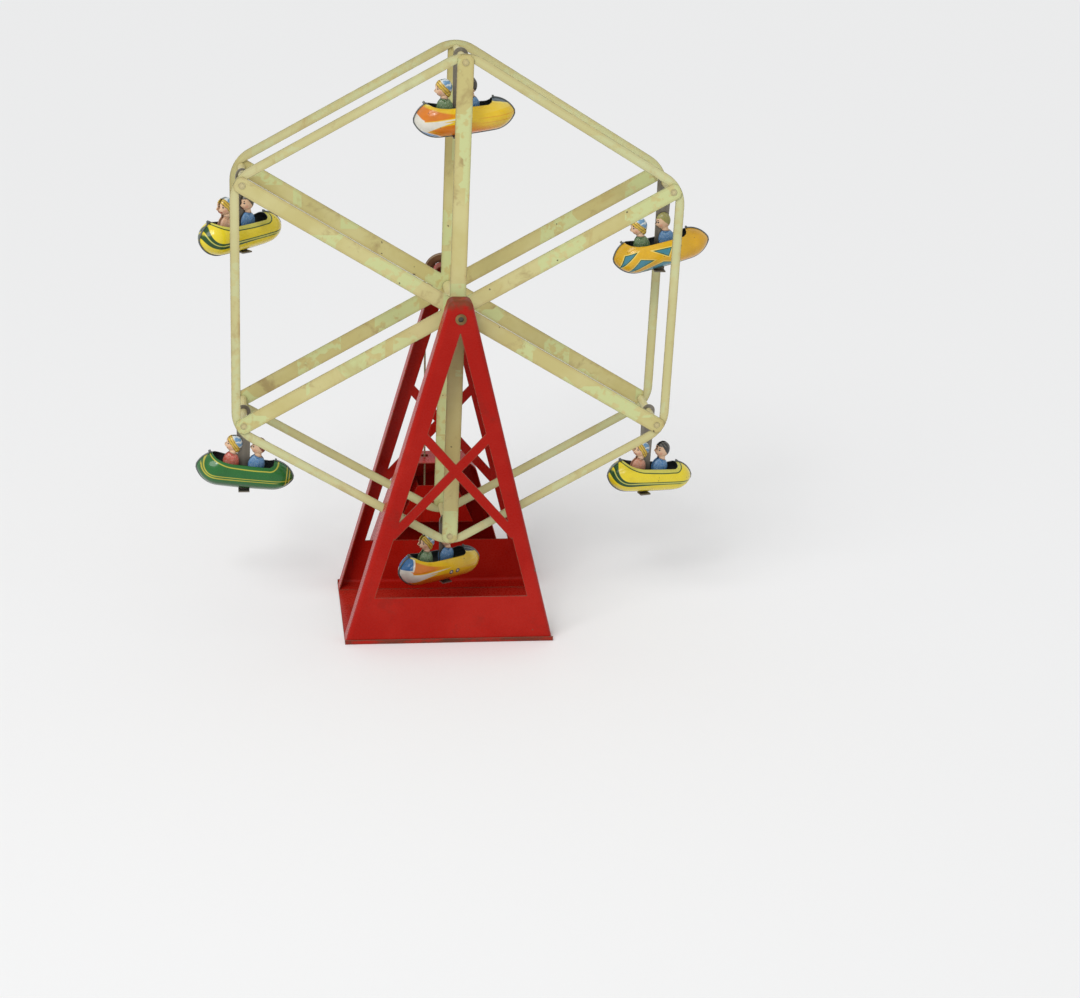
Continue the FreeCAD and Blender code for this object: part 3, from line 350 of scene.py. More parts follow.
lacquerWear = {
    "toneScale": 16.0, "chipScale": 75.0, "edgeGrain": 240.0,
    "capHeights": (0.203, 0.222), "capShare": 0.62, "capGrain": 190.0, "capSpan": (0.80, 1.12),
    "hemHeights": (3.8 * mm, 3.2 * mm), "uprightSpan": (0.6, 0.3), "rubScale": 70.0,
    "rubSpan": (0.34, 0.60), "scratchScale": 320.0, "scratchShare": 0.5,
    "grainScale": 900.0, "rough": (0.24, 0.34), "bareRough": 0.25, "capRough": 0.3, "bumps": 1.6,
}


def lacquer(name):
    s, w = lacquerSettings[name], lacquerWear
    material, tree, shader = newMaterial(name)
    place = objectPlace(tree)
    shade = toned(tree, place, s, w["toneScale"])
    color = shade["Color"]
    # the caps at the top of the stand are rubbed down to a brown undercoat, and the same brown also stands
    # for a painted highlight of the light falling on their tops
    level = split(tree, place)[2]
    rubbedAndLit = plus(tree, span(tree, level, *w["capHeights"], 0.0, w["capShare"]),
                  noise(tree, place, w["capGrain"], 5.0, 0.7))
    cap = times(tree, span(tree, rubbedAndLit, *w["capSpan"]), s["wornAndLitTop"])
    color = blend(tree, cap, color, capUndercoatAndSheen)
    # the low hem round the base is rubbed brown on its upright faces
    facing = split(tree, addNode(tree, "NewGeometry").outputs["Normal"])[2]
    upright = span(tree, calc(tree, "ABSOLUTE", facing), *w["uprightSpan"])
    hem = times(tree, span(tree, level, *w["hemHeights"]), upright)
    streaks = noise(tree, stretched(tree, place, (1.0, 1.0, 4.0)), w["rubScale"], 5.0, 0.75)
    hem = times(tree, times(tree, hem, span(tree, streaks, *w["rubSpan"])), s["hem"])
    color = blend(tree, hem, color, hemColor)
    lines = useGroup(tree, scratches, Place=stretched(tree, place, (1.0, 1.0, 0.06)),
                     Scale=w["scratchScale"], Limit=0.70)["Mask"]
    color = blend(tree, times(tree, lines, w["scratchShare"]), color, s["grime"])
    bare = bareSpots(tree, place, s["chipShare"], s["wear"], w["chipScale"], w["edgeGrain"])
    color = blend(tree, bare, color, tinColor)
    grain = noise(tree, place, w["grainScale"], 2.0)
    rough = plus(tree, span(tree, grain, 0.3, 0.7, *w["rough"]), times(tree, bare, w["bareRough"]))
    rough = plus(tree, rough, times(tree, cap, w["capRough"]))
    height = minus(tree, times(tree, shade["Height"], w["bumps"]), bare)
    finishShader(tree, shader, color, rough, times(tree, bare, 0.5), height, 0.12, specular=0.12)
    return material


# cream lacquer of the wheel

creamSettings = {
    "spokeCream": {
        "paint": (0.515, 0.452, 0.185), "faded": (0.580, 0.535, 0.255), "grime": (0.30, 0.205, 0.085),
        "patch": (0.535, 0.575, 0.27), "fading": 0.8, "dirt": 0.65, "patches": 0.95, "wear": 0.50,
        "chipShare": 0.16},
    "rimCream": {
        "paint": (0.525, 0.488, 0.232), "faded": (0.575, 0.55, 0.295), "grime": (0.36, 0.25, 0.10),
        "patch": (0.53, 0.575, 0.32), "fading": 0.7, "dirt": 0.45, "patches": 0.5, "wear": 0.48,
        "chipShare": 0.12},
    "tubeCream": {
        "paint": (0.55, 0.49, 0.24), "faded": (0.60, 0.56, 0.32), "grime": (0.22, 0.15, 0.07),
        "patch": (0.55, 0.58, 0.33), "fading": 0.6, "dirt": 0.6, "patches": 0.2, "wear": 0.5,
        "chipShare": 0.12},
}
undercoat = (0.045, 0.036, 0.024)
agedColor = (0.40, 0.245, 0.075)
stainColor = (0.34, 0.215, 0.085)
creamWear = {
    "toneScale": 24.0, "chipScale": 150.0, "edgeGrain": 190.0, "bareShare": 0.85,
    "tileScale": 42.0, "tileLimit": 0.62, "tileGrain": 210.0, "tileSpan": (0.38, 0.5),
    "agedScale": 34.0, "agedSpan": (0.60, 0.74), "agedShare": 0.55,
    "stainReach": 3.2 * mm, "stainAmount": 0.66, "stainGrain": 55.0, "stainShare": 0.5,
    "rough": (0.34, 0.46), "bareRough": 0.2, "bumps": 1.2, "patchBump": 0.25,
}


def creamLacquer(name):
    s, w = creamSettings[name], creamWear
    material, tree, shader = newMaterial(name)
    place = objectPlace(tree)
    shade = toned(tree, place, s, w["toneScale"])
    color = shade["Color"]
    # square-ended touch-up patches of a fresher, greener cream
    tile = addNode(tree, "TexVoronoi", distance="CHEBYCHEV")
    tileColor = feedAll(tree, tile, {"Vector": place, "Scale": w["tileScale"]})["Color"]
    picked = calc(tree, "GREATER_THAN", split(tree, tileColor)[0], w["tileLimit"])
    ragged = span(tree, noise(tree, place, w["tileGrain"]), *w["tileSpan"])
    patch = times(tree, times(tree, picked, ragged), s["patches"])
    color = blend(tree, patch, color, s["patch"])
    # yellow-brown runs where the lacquer has aged
    runs = noise(tree, stretched(tree, place, (1.0, 1.0, 0.45)), w["agedScale"], 5.0, 0.7, 0.6)
    aged = span(tree, runs, *w["agedSpan"])
    color = blend(tree, times(tree, aged, w["agedShare"]), color, agedColor)
    stain = useGroup(tree, edgeWear, Place=place, Reach=w["stainReach"], Amount=w["stainAmount"],
                     Grain=w["stainGrain"])["Mask"]
    color = blend(tree, times(tree, stain, w["stainShare"]), color, stainColor)
    bare = bareSpots(tree, place, s["chipShare"], s["wear"], w["chipScale"], w["edgeGrain"])
    color = blend(tree, times(tree, bare, w["bareShare"]), color, undercoat)
    rough = plus(tree, span(tree, shade["Height"], 0.3, 0.7, *w["rough"]),
                 times(tree, bare, w["bareRough"]))
    height = minus(tree, times(tree, shade["Height"], w["bumps"]), bare)
    height = plus(tree, height, times(tree, patch, w["patchBump"]))
    finishShader(tree, shader, color, rough, 0.0, height, 0.10, specular=0.3)
    return material


# bare metals and the small turned parts

metalSettings = {
    "dullTin": {
        "paint": (0.175, 0.155, 0.125), "faded": (0.27, 0.25, 0.215), "grime": (0.075, 0.058, 0.042),
        "fading": 0.8, "dirt": 0.8, "rough": (0.38, 0.55), "metallic": 0.75, "run": (1.0, 1.0, 0.12)},
    # tin of the hull insides: its own grey, darkened as painted shade of the cockpits
    "shadedSlateTin": {
        "paint": (0.115, 0.125, 0.125), "faded": (0.20, 0.215, 0.21), "grime": (0.028, 0.024, 0.02),
        "fading": 0.7, "dirt": 0.6, "rough": (0.40, 0.58), "metallic": 0.4, "run": (0.3, 1.0, 1.0)},
    "steelWire": {
        "paint": (0.32, 0.30, 0.27), "faded": (0.45, 0.43, 0.40), "grime": (0.11, 0.075, 0.05),
        "fading": 0.7, "dirt": 0.5, "rough": (0.26, 0.42), "metallic": 0.95, "run": (1.0, 0.2, 1.0)},
    # the axle's own dark steel, made darker still as painted shade of the bores its ends sit in
    "darkSteelAndBoreShade": {
        "paint": (0.085, 0.075, 0.062), "faded": (0.20, 0.18, 0.15), "grime": (0.035, 0.026, 0.018),
        "fading": 0.7, "dirt": 0.6, "rough": (0.30, 0.48), "metallic": 0.85, "run": (1.0, 0.2, 1.0)},
    "agedBrass": {
        "paint": (0.17, 0.10, 0.04), "faded": (0.34, 0.23, 0.10), "grime": (0.05, 0.03, 0.015),
        "fading": 0.7, "dirt": 0.7, "rough": (0.28, 0.45), "metallic": 0.9, "run": (1.0, 1.0, 1.0)},
    "brownLacquer": {
        "paint": (0.105, 0.046, 0.020), "faded": (0.17, 0.085, 0.040), "grime": (0.05, 0.028, 0.015),
        "fading": 0.8, "dirt": 0.5, "rough": (0.36, 0.50), "metallic": 0.1, "run": (1.0, 1.0, 1.0)},
    "stainedBeech": {
        "paint": (0.26, 0.022, 0.014), "faded": (0.36, 0.055, 0.030), "grime": (0.10, 0.020, 0.012),
        "fading": 0.9, "dirt": 0.4, "rough": (0.30, 0.44), "metallic": 0.0, "run": (6.0, 0.35, 6.0)},
}
metalWear = {"toneScale": 85.0, "reach": 0.5 * mm, "edgeShare": 0.5, "grainScale": 900.0, "bumps": 0.3}


def metal(name):
    s, w = metalSettings[name], metalWear
    material, tree, shader = newMaterial(name)
    place = objectPlace(tree)
    along = stretched(tree, place, s["run"])
    shade = toned(tree, along, s, w["toneScale"])
    edge = useGroup(tree, edgeWear, Place=place, Reach=w["reach"], Amount=0.5, Grain=300.0)["Mask"]
    color = blend(tree, times(tree, edge, w["edgeShare"]), shade["Color"], s["faded"])
    grain = noise(tree, along, w["grainScale"])
    rough = span(tree, grain, 0.3, 0.7, *s["rough"])
    height = plus(tree, shade["Height"], times(tree, grain, w["bumps"]))
    finishShader(tree, shader, color, rough, s["metallic"], height, 0.08)
    return material


made = {}
for name in lacquerSettings:
    made[name] = lacquer(name)
for name in creamSettings:
    made[name] = creamLacquer(name)
for name in metalSettings:
    made[name] = metal(name)

finishNodes = {
    "redLacquer": ["front_frame", "rear_frame"],
    "floorLacquer": ["base_plate"],
    "coverLacquer": ["drive_cover", "shaft_bracket"],
    "spokeCream": ["front_spokes", "rear_spokes", "front_hub_disc", "rear_hub_disc"],
    "rimCream": ["front_rim", "rear_rim"],
    "tubeCream": ["hub_tube", "gondola_pins"] + ["spacer_tube_%d" % n for n in gondolaNumbers],
    "dullTin": ["hanger_%d" % n for n in gondolaNumbers],
    "steelWire": ["crank_shaft", "crank_arm", "knob_pin"],
    "darkSteelAndBoreShade": ["axle"],
    "agedBrass": ["axle_bushes", "crank_bushes"],
    "brownLacquer": ["drive_pulley", "drive_wheel"],
    "stainedBeech": ["crank_knob"],
}
for finish, names in finishNodes.items():
    for name in names:
        dress(name, made[finish])
print("frame and wheel finished")


# gondolas

hullSettings = {
    "length": 59.0, "radius": 10.6, "noseLength": 14.0, "tailLength": 12.0, "tailRadius": 9.2,
    "tipRadius": 1.0, "wall": 0.45, "flange": 0.7,
    # faces round the half, and points along its nose, flank and tail
    "steps": 26, "noseSteps": 12, "flankSteps": 14, "tailSteps": 10,
    # side view of the cockpit's rim from front to rear
    "rim": ((-22.0, 9.9), (-18.2, 8.1), (-14.2, 7.0), (-9.5, 6.4), (14.2, 6.4), (16.2, 7.4), (17.0, 9.2)),
    # the cuts leave what is under this height alone, and those at the rim's ends reach this far up
    "cutAbove": 4.0, "cutTop": 20.0,
    "pinCircle": 145.5, "hubHeight": 209.0,
}
seatings = (
    {"drop": 35.2, "tilt": 6.7, "shift": 3.2, "twist": 0.0, "riders": -2.4, "livery": "rocket"},
    {"drop": 41.2, "tilt": 14.6, "shift": 0.6, "twist": 0.0, "riders": -2.4, "livery": "wedges"},
    {"drop": 43.4, "tilt": -6.5, "shift": 4.2, "twist": 15.0, "riders": -1.0, "livery": "lemon"},
    {"drop": 29.7, "tilt": -1.0, "shift": -3.6, "twist": 26.0, "riders": -2.2, "livery": "rocket"},
    {"drop": 38.6, "tilt": -8.2, "shift": 0.7, "twist": 0.0, "riders": -0.7, "livery": "green"},
    {"drop": 33.4, "tilt": 2.0, "shift": -1.2, "twist": 37.5, "riders": -2.0, "livery": "lemon"},
)


def gondolaSeat(number):
    # carries a point from the hull's own axes, in mm, to the wheel
    h, s = hullSettings, seatings[number - 1]
    around = math.radians(60 * (number - 1))
    circle = h["pinCircle"]
    pin = Vector((circle * math.sin(around), 0.0, h["hubHeight"] + circle * math.cos(around)))
    twist = Matrix.Rotation(math.radians(s["twist"]), 4, "Z")
    tilt = Matrix.Rotation(-math.radians(s["tilt"]), 4, "Y")
    seat = Matrix.Translation(pin) @ twist @ Matrix.Translation((s["shift"], 0.0, -s["drop"])) @ tilt
    return Matrix.Scale(mm, 4) @ seat


def arcPoints(start, end, radius, count):
    # points of the arc from start to end that bulges away from the hull's axis
    a, b = Vector(start), Vector(end)
    chord = b - a
    up = Vector((-chord.y, chord.x)).normalized()
    middle = (a + b) / 2 - up * math.sqrt(max(radius * radius - chord.length_squared / 4, 0.0))
    first = math.atan2(a.y - middle.y, a.x - middle.x)
    last = math.atan2(b.y - middle.y, b.x - middle.x)
    return [(middle.x + radius * math.cos(first + (last - first) * i / count),
             middle.y + radius * math.sin(first + (last - first) * i / count)) for i in range(count + 1)]


def hullOutline():
    h = hullSettings
    end = h["length"] / 2
    noseRise = h["radius"] - h["tipRadius"]
    noseRound = (h["noseLength"] ** 2 + noseRise ** 2) / (2 * noseRise)
    flank = h["length"] - h["noseLength"] - h["tailLength"]
    fall = h["radius"] - h["tailRadius"]
    flankRound = (flank ** 2 + fall ** 2) / (2 * fall)
    tailRound = math.hypot(h["tailLength"], h["tailRadius"] - h["tipRadius"])
    shoulder = (-end + h["noseLength"], h["radius"])
    hip = (end - h["tailLength"], h["tailRadius"])
    points = [(-end, 0.0)]
    points += arcPoints((-end, h["tipRadius"]), shoulder, noseRound, h["noseSteps"])
    points += arcPoints(shoulder, hip, flankRound, h["flankSteps"])[1:]
    points += arcPoints(hip, (end, h["tipRadius"]), tailRound, h["tailSteps"])[1:]
    points.append((end, 0.0))
    return points


def rimHeight(x):
    # height of the cockpit's rim, or nothing outside it
    rim = hullSettings["rim"]
    for (x0, z0), (x1, z1) in zip(rim, rim[1:]):
        if x0 <= x <= x1:
            return z0 + (z1 - z0) * (x - x0) / (x1 - x0)
    return None


def keepPlace(mesh, name):
    # stores each point's place, in mm, for the painted pattern
    spots = mesh.attributes.new(name, "FLOAT_VECTOR", "POINT")
    values = [c for vertex in mesh.vertices for c in vertex.co]
    spots.data.foreach_set("vector", values)


def addPiece(name, bm, seat, body, materials, attribute=None):
    mesh = bpy.data.meshes.new(name)
    bm.to_mesh(mesh)
    bm.free()
    if attribute:
        keepPlace(mesh, attribute)
    mesh.transform(seat)
    for polygon in mesh.polygons:
        polygon.use_smooth = True
    for material in materials:
        mesh.materials.append(material)
    piece = bpy.data.objects.new(name, mesh)
    bpy.context.scene.collection.objects.link(piece)
    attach(piece, body)
    return piece


def hullHalf(hand):
    # one pressed half: spun about the long axis, cut open on top, with a narrow seam flange
    h = hullSettings
    bm = bmesh.new()
    spots = [bm.verts.new((x, 0.0, z)) for x, z in hullOutline()]
    edges = [bm.edges.new(pair) for pair in zip(spots, spots[1:])]
    bmesh.ops.spin(bm, geom=spots + edges, cent=(0, 0, 0), axis=(1, 0, 0),
                   angle=-hand * math.pi, steps=h["steps"], use_merge=False)
    bmesh.ops.remove_doubles(bm, verts=bm.verts, dist=1e-4)
    rim = h["rim"]
    cuts = list(zip(rim, rim[1:])) + [((rim[0][0], 0.0), rim[0]), (rim[-1], (rim[-1][0], h["cutTop"]))]
    for (x0, z0), (x1, z1) in cuts:
        upper = [f for f in bm.faces if f.calc_center_median().z > h["cutAbove"]]
        around = {v for f in upper for v in f.verts} | {e for f in upper for e in f.edges}
        bmesh.ops.bisect_plane(bm, geom=upper + list(around), dist=1e-5, plane_co=(x0, 0, z0),
                               plane_no=(z0 - z1, 0, x1 - x0))
    opened = []
    for face in bm.faces:
        centre = face.calc_center_median()
        edge = rimHeight(centre.x)
        if edge is not None and centre.z > edge:
            opened.append(face)
    bmesh.ops.delete(bm, geom=opened, context="FACES")
    bmesh.ops.remove_doubles(bm, verts=bm.verts, dist=1e-3)
    bmesh.ops.recalc_face_normals(bm, faces=bm.faces)
    outwards = sum((f.normal.y * f.calc_area() for f in bm.faces))
    if outwards * hand < 0:
        bmesh.ops.reverse_faces(bm, faces=bm.faces)
    bm.normal_update()
    seam = [e for e in bm.edges if e.is_boundary and all(abs(v.co.y) < 1e-4 for v in e.verts)]
    outward = {}
    for edge in seam:
        for vert in edge.verts:
            way = Vector((vert.normal.x, 0.0, vert.normal.z))
            way = way.normalized() if way.length > 1e-6 else Vector((0, 0, 1))
            outward[vert.co.copy().freeze()] = way
    fresh = bmesh.ops.extrude_edge_only(bm, edges=seam)["geom"]
    for vert in (v for v in fresh if isinstance(v, bmesh.types.BMVert)):
        vert.co += outward[vert.co.copy().freeze()] * h["flange"]
    return bm


# along, up, lean, length and height of the tab at each end of the cockpit
tabSettings = {
    "front": (-22.9, 9.9, -0.5, 1.5, 1.7), "rear": (17.7, 9.9, 0.15, 1.2, 1.36),
    "out": 0.55, "thick": 0.9, "round": 0.25,
}


def tabAt(bm, x, z, lean, wide, tall, hand):
    # a small crimped tab on the seam
    t = tabSettings
    place = Matrix.Translation((x, hand * t["out"], z)) @ Matrix.Rotation(lean, 4, "Y")
    tab = bmesh.ops.create_cube(bm, size=1.0, matrix=place @ Matrix.Diagonal((wide, t["thick"], tall, 1.0)))
    edges = {e for v in tab["verts"] for e in v.link_edges}
    bmesh.ops.bevel(bm, geom=list(edges), offset=t["round"], segments=2, profile=0.5, affect="EDGES",
                    material=-1)


# drawn lines lie within this many mm of the hull's middle, both ways
lineReach = 32.0


def lineHeight(tree, x, points):
    # the height in mm of a drawn line at a place along the hull
    node = addNode(tree, "FloatCurve")
    curve = node.mapping.curves[0]
    spots = [((px + lineReach) / (2 * lineReach), (pz + lineReach) / (2 * lineReach)) for px, pz in points]
    curve.points[0].location = spots[0]
    curve.points[1].location = spots[-1]
    for spot in spots[1:-1]:
        curve.points.new(*spot)
    node.mapping.update()
    feed(tree, node.inputs["Value"], calc(tree, "DIVIDE", plus(tree, x, lineReach), 2 * lineReach))
    return minus(tree, times(tree, node.outputs[0], 2 * lineReach), lineReach)


def aboveLine(tree, x, z, points):
    # distance above a drawn line, kept true where the line is steep
    stepAlong = 0.5
    here = lineHeight(tree, x, points)
    ahead = lineHeight(tree, plus(tree, x, stepAlong), points)
    slope = times(tree, minus(tree, ahead, here), 1.0 / stepAlong)
    stretch = calc(tree, "SQRT", plus(tree, times(tree, slope, slope), 1.0))
    return calc(tree, "DIVIDE", minus(tree, z, here), stretch)


def bandOf(tree, distance, low, high, soft=0.14):
    # 1 between the two distances, with soft edges
    return times(tree, span(tree, minus(tree, distance, low), -soft, soft),
                 span(tree, minus(tree, high, distance), -soft, soft))


def polygonDistance(tree, x, z, corners):
    # distance outside a convex outline given anticlockwise
    worst = None
    for (x0, z0), (x1, z1) in zip(corners, corners[1:] + corners[:1]):
        long = math.hypot(x1 - x0, z1 - z0)
        nx, nz = (z1 - z0) / long, -(x1 - x0) / long
        side = plus(tree, times(tree, minus(tree, x, x0), nx),
                    times(tree, minus(tree, z, z0), nz))
        worst = side if worst is None else calc(tree, "MAXIMUM", worst, side)
    return worst


def circleDistance(tree, x, z, centre, radius):
    dx = minus(tree, x, centre[0])
    dz = minus(tree, z, centre[1])
    far = calc(tree, "SQRT", plus(tree, times(tree, dx, dx), times(tree, dz, dz)))
    return minus(tree, far, radius)


printSettings = {
    "slowScale": 0.09, "slowSpan": (0.45, 0.75, 0.0, 0.22), "aged": (0.30, 0.17, 0.03),
    "fineScale": 1.3, "scuffSpan": (0.66, 0.72), "scuffShare": 0.5, "scuff": (0.12, 0.10, 0.06),
    "speckScale": 0.33, "speckSize": 0.11, "specksChosen": 0.34, "speckShare": 0.8,
    "speck": (0.04, 0.035, 0.03), "rough": (0.16, 0.30),
}


def printedTin(tree, shader, color, place, seed):
    # lithographed tin: small scuffs, specks and a clear gloss
    p = printSettings
    shifted = addNode(tree, "VectorMath", operation="ADD")
    spot = feedAll(tree, shifted, {0: place, 1: (seed * 37.0, seed * 11.0, 0.0)})[0]
    slow = noise(tree, spot, p["slowScale"], 3.0)
    color = blend(tree, span(tree, slow, *p["slowSpan"]), color, p["aged"], "MULTIPLY")
    fine = noise(tree, spot, p["fineScale"], 4.0, 0.7)
    scuff = span(tree, fine, *p["scuffSpan"])
    color = blend(tree, times(tree, scuff, p["scuffShare"]), color, p["scuff"])
    cells = feedAll(tree, addNode(tree, "TexVoronoi"), {"Vector": spot, "Scale": p["speckScale"]})
    speck = times(tree, calc(tree, "LESS_THAN", cells["Distance"], p["speckSize"]),
                  calc(tree, "LESS_THAN", split(tree, cells["Color"])[0], p["specksChosen"]))
    color = blend(tree, times(tree, speck, p["speckShare"]), color, p["speck"])
    rough = span(tree, fine, 0.3, 0.7, *p["rough"])
    height = plus(tree, slow, times(tree, fine, 0.1))
    finishShader(tree, shader, color, rough, 0.0, height, 0.25, 0.25, specular=0.35)


liveryColors = {
    "yellow": (0.76, 0.50, 0.018), "paleYellow": (0.78, 0.62, 0.12), "orange": (0.66, 0.19, 0.012),
    "white": (0.72, 0.70, 0.62), "blue": (0.045, 0.17, 0.40), "slate": (0.085, 0.115, 0.14),
    "golden": (0.70, 0.40, 0.012), "amber": (0.62, 0.25, 0.012), "teal": (0.055, 0.225, 0.30),
    "deepGreen": (0.018, 0.085, 0.018), "cream": (0.80, 0.62, 0.17), "lemon": (0.72, 0.575, 0.022),
    "paleGreen": (0.50, 0.50, 0.10), "bottleGreen": (0.012, 0.125, 0.020),
    "inkGreen": (0.010, 0.060, 0.012), "olive": (0.46, 0.43, 0.045),
}
rocketFields = {
    1: ((((-29.6, -11.5), (-13.0, -11.8), (-17.5, -8.8), (-27.4, -5.4)), 0.5),),
    4: ((((-31.0, 1.8), (-24.2, 2.6), (-21.6, 9.4), (-31.0, 11.0)), 0.8),
        (((-29.0, -11.0), (-18.0, -12.0), (-21.0, -10.0), (-26.5, -8.4)), 0.5)),
}
rocketPorts = {1: ((-3.4, -1.6), (1.6, -1.9)), 4: ((3.2, -2.2), (8.0, -2.0))}
portSizes = {"outer": 1.5, "rim": 0.75}
# marks between two lines, each given as places along the hull and heights above its axis, with how soft
# the lines are and where along the hull the mark fades in
rocketMarks = (
    # upper flame, from the whole height of the nose to a thin tongue
    {"top": ((-32.0, 9.0), (-25.0, 8.6), (-19.0, 6.6), (-12.0, 4.4), (-2.0, 2.8), (6.0, 2.0)),
     "foot": ((-32.0, 0.0), (-24.0, 0.2), (-14.0, 0.8), (-4.0, 1.4), (6.0, 1.9)),
     "soft": (0.5, 0.15), "fade": (4.0, -12.0), "color": "orange"},
    # white dart under it
    {"top": ((-32.0, -0.2), (-20.0, 0.0), (-8.0, 0.6), (4.0, 1.2)),
     "foot": ((-32.0, -8.6), (-25.0, -7.2), (-18.0, -4.2), (-8.0, -1.4), (3.0, 1.2)),
     "soft": (0.15, 0.15), "fade": None, "color": "white"},
    # yellow heart of the dart, which widens to the rear
    {"top": ((-32.0, -2.6), (-14.0, -0.9), (6.0, 1.4)),
     "foot": ((-32.0, -2.8), (-14.0, -1.2), (0.0, -1.4), (6.0, -1.8)),
     "soft": (0.15, 0.15), "fade": (-14.0, -11.0), "color": "yellow"},
    # lower flame, from a point behind the nose
    {"top": ((-32.0, -6.6), (-20.6, -5.3), (-14.0, -3.4), (-4.0, -2.6), (8.0, -2.6)),
     "foot": ((-32.0, -5.0), (-20.6, -5.5), (-14.0, -7.6), (-4.0, -8.4), (8.0, -8.6)),
     "soft": (0.15, 0.3), "fade": (12.0, -6.0), "color": "orange"},
)
noseLine = ((-32.0, 9.0), (-27.0, 3.6), (-24.6, 1.2), (-20.0, 0.2), (-10.0, 0.0))
deckLine = ((-32.0, 12.0), (-24.0, 9.4), (-17.0, 9.4), (-10.0, 12.0), (10.0, 12.0), (16.0, 8.4),
            (22.0, 7.0), (27.0, 5.2), (32.0, 2.0))
pinLines = (((-32.0, -3.6), (6.0, -3.6), (32.0, -2.4)), ((-32.0, -0.6), (6.0, -0.6), (32.0, 0.4)))
wedgeShapes = (
    ((-26.8, -4.2), (-17.0, 3.8), (-23.2, 3.0)),
    ((-22.5, -8.3), (-7.6, -2.8), (-14.6, -0.8)),
    ((-5.0, 2.7), (2.4, -1.8), (4.8, 2.4)),
    ((-17.0, -9.9), (8.5, -8.6), (-1.0, -5.6)),
)
rimLine = ((-26.0, 13.0), (-23.4, 9.6), (-20.0, 7.4), (-16.0, 5.8), (-11.0, 4.6), (-6.0, 4.3), (12.0, 4.3),
           (16.2, 4.7), (18.6, 6.6), (19.6, 9.2), (20.2, 13.0))


def keptPlace(tree, name):
    node = addNode(tree, "Attribute", attribute_name=name, attribute_type="GEOMETRY")
    x, _, z = split(tree, node.outputs["Vector"])
    return node.outputs["Vector"], x, z


def rocketLivery(number):
    c = liveryColors
    material, tree, shader = newMaterial("rocketPrint%d" % number)
    place, x, z = keptPlace(tree, "hullPlace")
    color = blend(tree, span(tree, z, -9.0, -3.0), c["orange"], c["yellow"])
    color = blend(tree, span(tree, x, 6.0, 26.0, 0.0, 0.5), color, c["paleYellow"])
    for mark in rocketMarks:
        softTop, softFoot = mark["soft"]
        inside = times(tree, span(tree, aboveLine(tree, x, z, mark["top"]), softTop, -softTop),
                       span(tree, aboveLine(tree, x, z, mark["foot"]), -softFoot, softFoot))
        if mark["fade"]:
            inside = times(tree, inside, span(tree, x, *mark["fade"]))
        color = blend(tree, inside, color, c[mark["color"]])
    # white nose with a blue field on it or under it, and the dark decks
    nose = span(tree, aboveLine(tree, x, z, noseLine), 0.1, -0.1)
    color = blend(tree, times(tree, nose, span(tree, x, -23.8, -24.2)), color, c["white"])
    for corners, edging in rocketFields[number]:
        field = polygonDistance(tree, x, z, list(corners))
        color = blend(tree, span(tree, field, edging + 0.1, edging - 0.1), color, c["white"])
        color = blend(tree, span(tree, field, 0.1, -0.1), color, c["blue"])
    deck = aboveLine(tree, x, z, deckLine)
    color = blend(tree, span(tree, deck, -0.7, -0.5), color, c["paleYellow"])
    color = blend(tree, span(tree, deck, -0.1, 0.1), color, c["slate"])
    # thin orange pin lines along the tail
    for points in pinLines:
        lined = bandOf(tree, aboveLine(tree, x, z, points), -0.16, 0.16)
        lined = times(tree, lined, span(tree, x, 6.0, 12.0, 0.0, 0.7))
        color = blend(tree, lined, color, c["orange"])
    for centre in rocketPorts[number]:
        ring = circleDistance(tree, x, z, centre, portSizes["outer"])
        color = blend(tree, span(tree, ring, 0.1, -0.1), color, c["slate"])
        color = blend(tree, span(tree, plus(tree, ring, portSizes["rim"]), 0.1, -0.1), color, c["white"])
    printedTin(tree, shader, color, place, number)
    return material


def wedgesLivery(number):
    c = liveryColors
    material, tree, shader = newMaterial("wedgePrint%d" % number)
    place, x, z = keptPlace(tree, "hullPlace")
    color = blend(tree, span(tree, z, -9.5, -4.0, 0.75, 0.0), c["golden"], c["amber"])
    color = blend(tree, span(tree, x, 8.0, 28.0, 0.0, 0.25), color, c["amber"])
    for shape in wedgeShapes:
        out = polygonDistance(tree, x, z, list(shape))
        color = blend(tree, span(tree, out, 1.0, 0.8), color, c["cream"])
        color = blend(tree, span(tree, out, 0.5, 0.34), color, c["deepGreen"])
        color = blend(tree, span(tree, out, 0.05, -0.1), color, c["teal"])
    printedTin(tree, shader, color, place, number)
    return material


sweepSettings = {
    "lemon": {"body": "lemon", "line": "inkGreen", "between": "paleGreen", "wide": 1.5, "narrow": 0.6,
              "belly": "lemon", "tail": "inkGreen", "tailBands": ((27.6, 28.3), (29.0, 31.0)),
              "rimBand": "paleGreen"},
    "green": {"body": "bottleGreen", "line": "olive", "between": "bottleGreen", "wide": 0.8, "narrow": 0.5,
              "belly": "deepGreen", "tail": "olive", "tailBands": ((25.0, 25.7), (26.8, 27.5)),
              "rimBand": "bottleGreen"},
}


sweepShape = {"halfHeight": (-20.0, 30.0, 6.0, 5.2), "bend": 18.6, "reach": 6.8, "middle": 4.3}


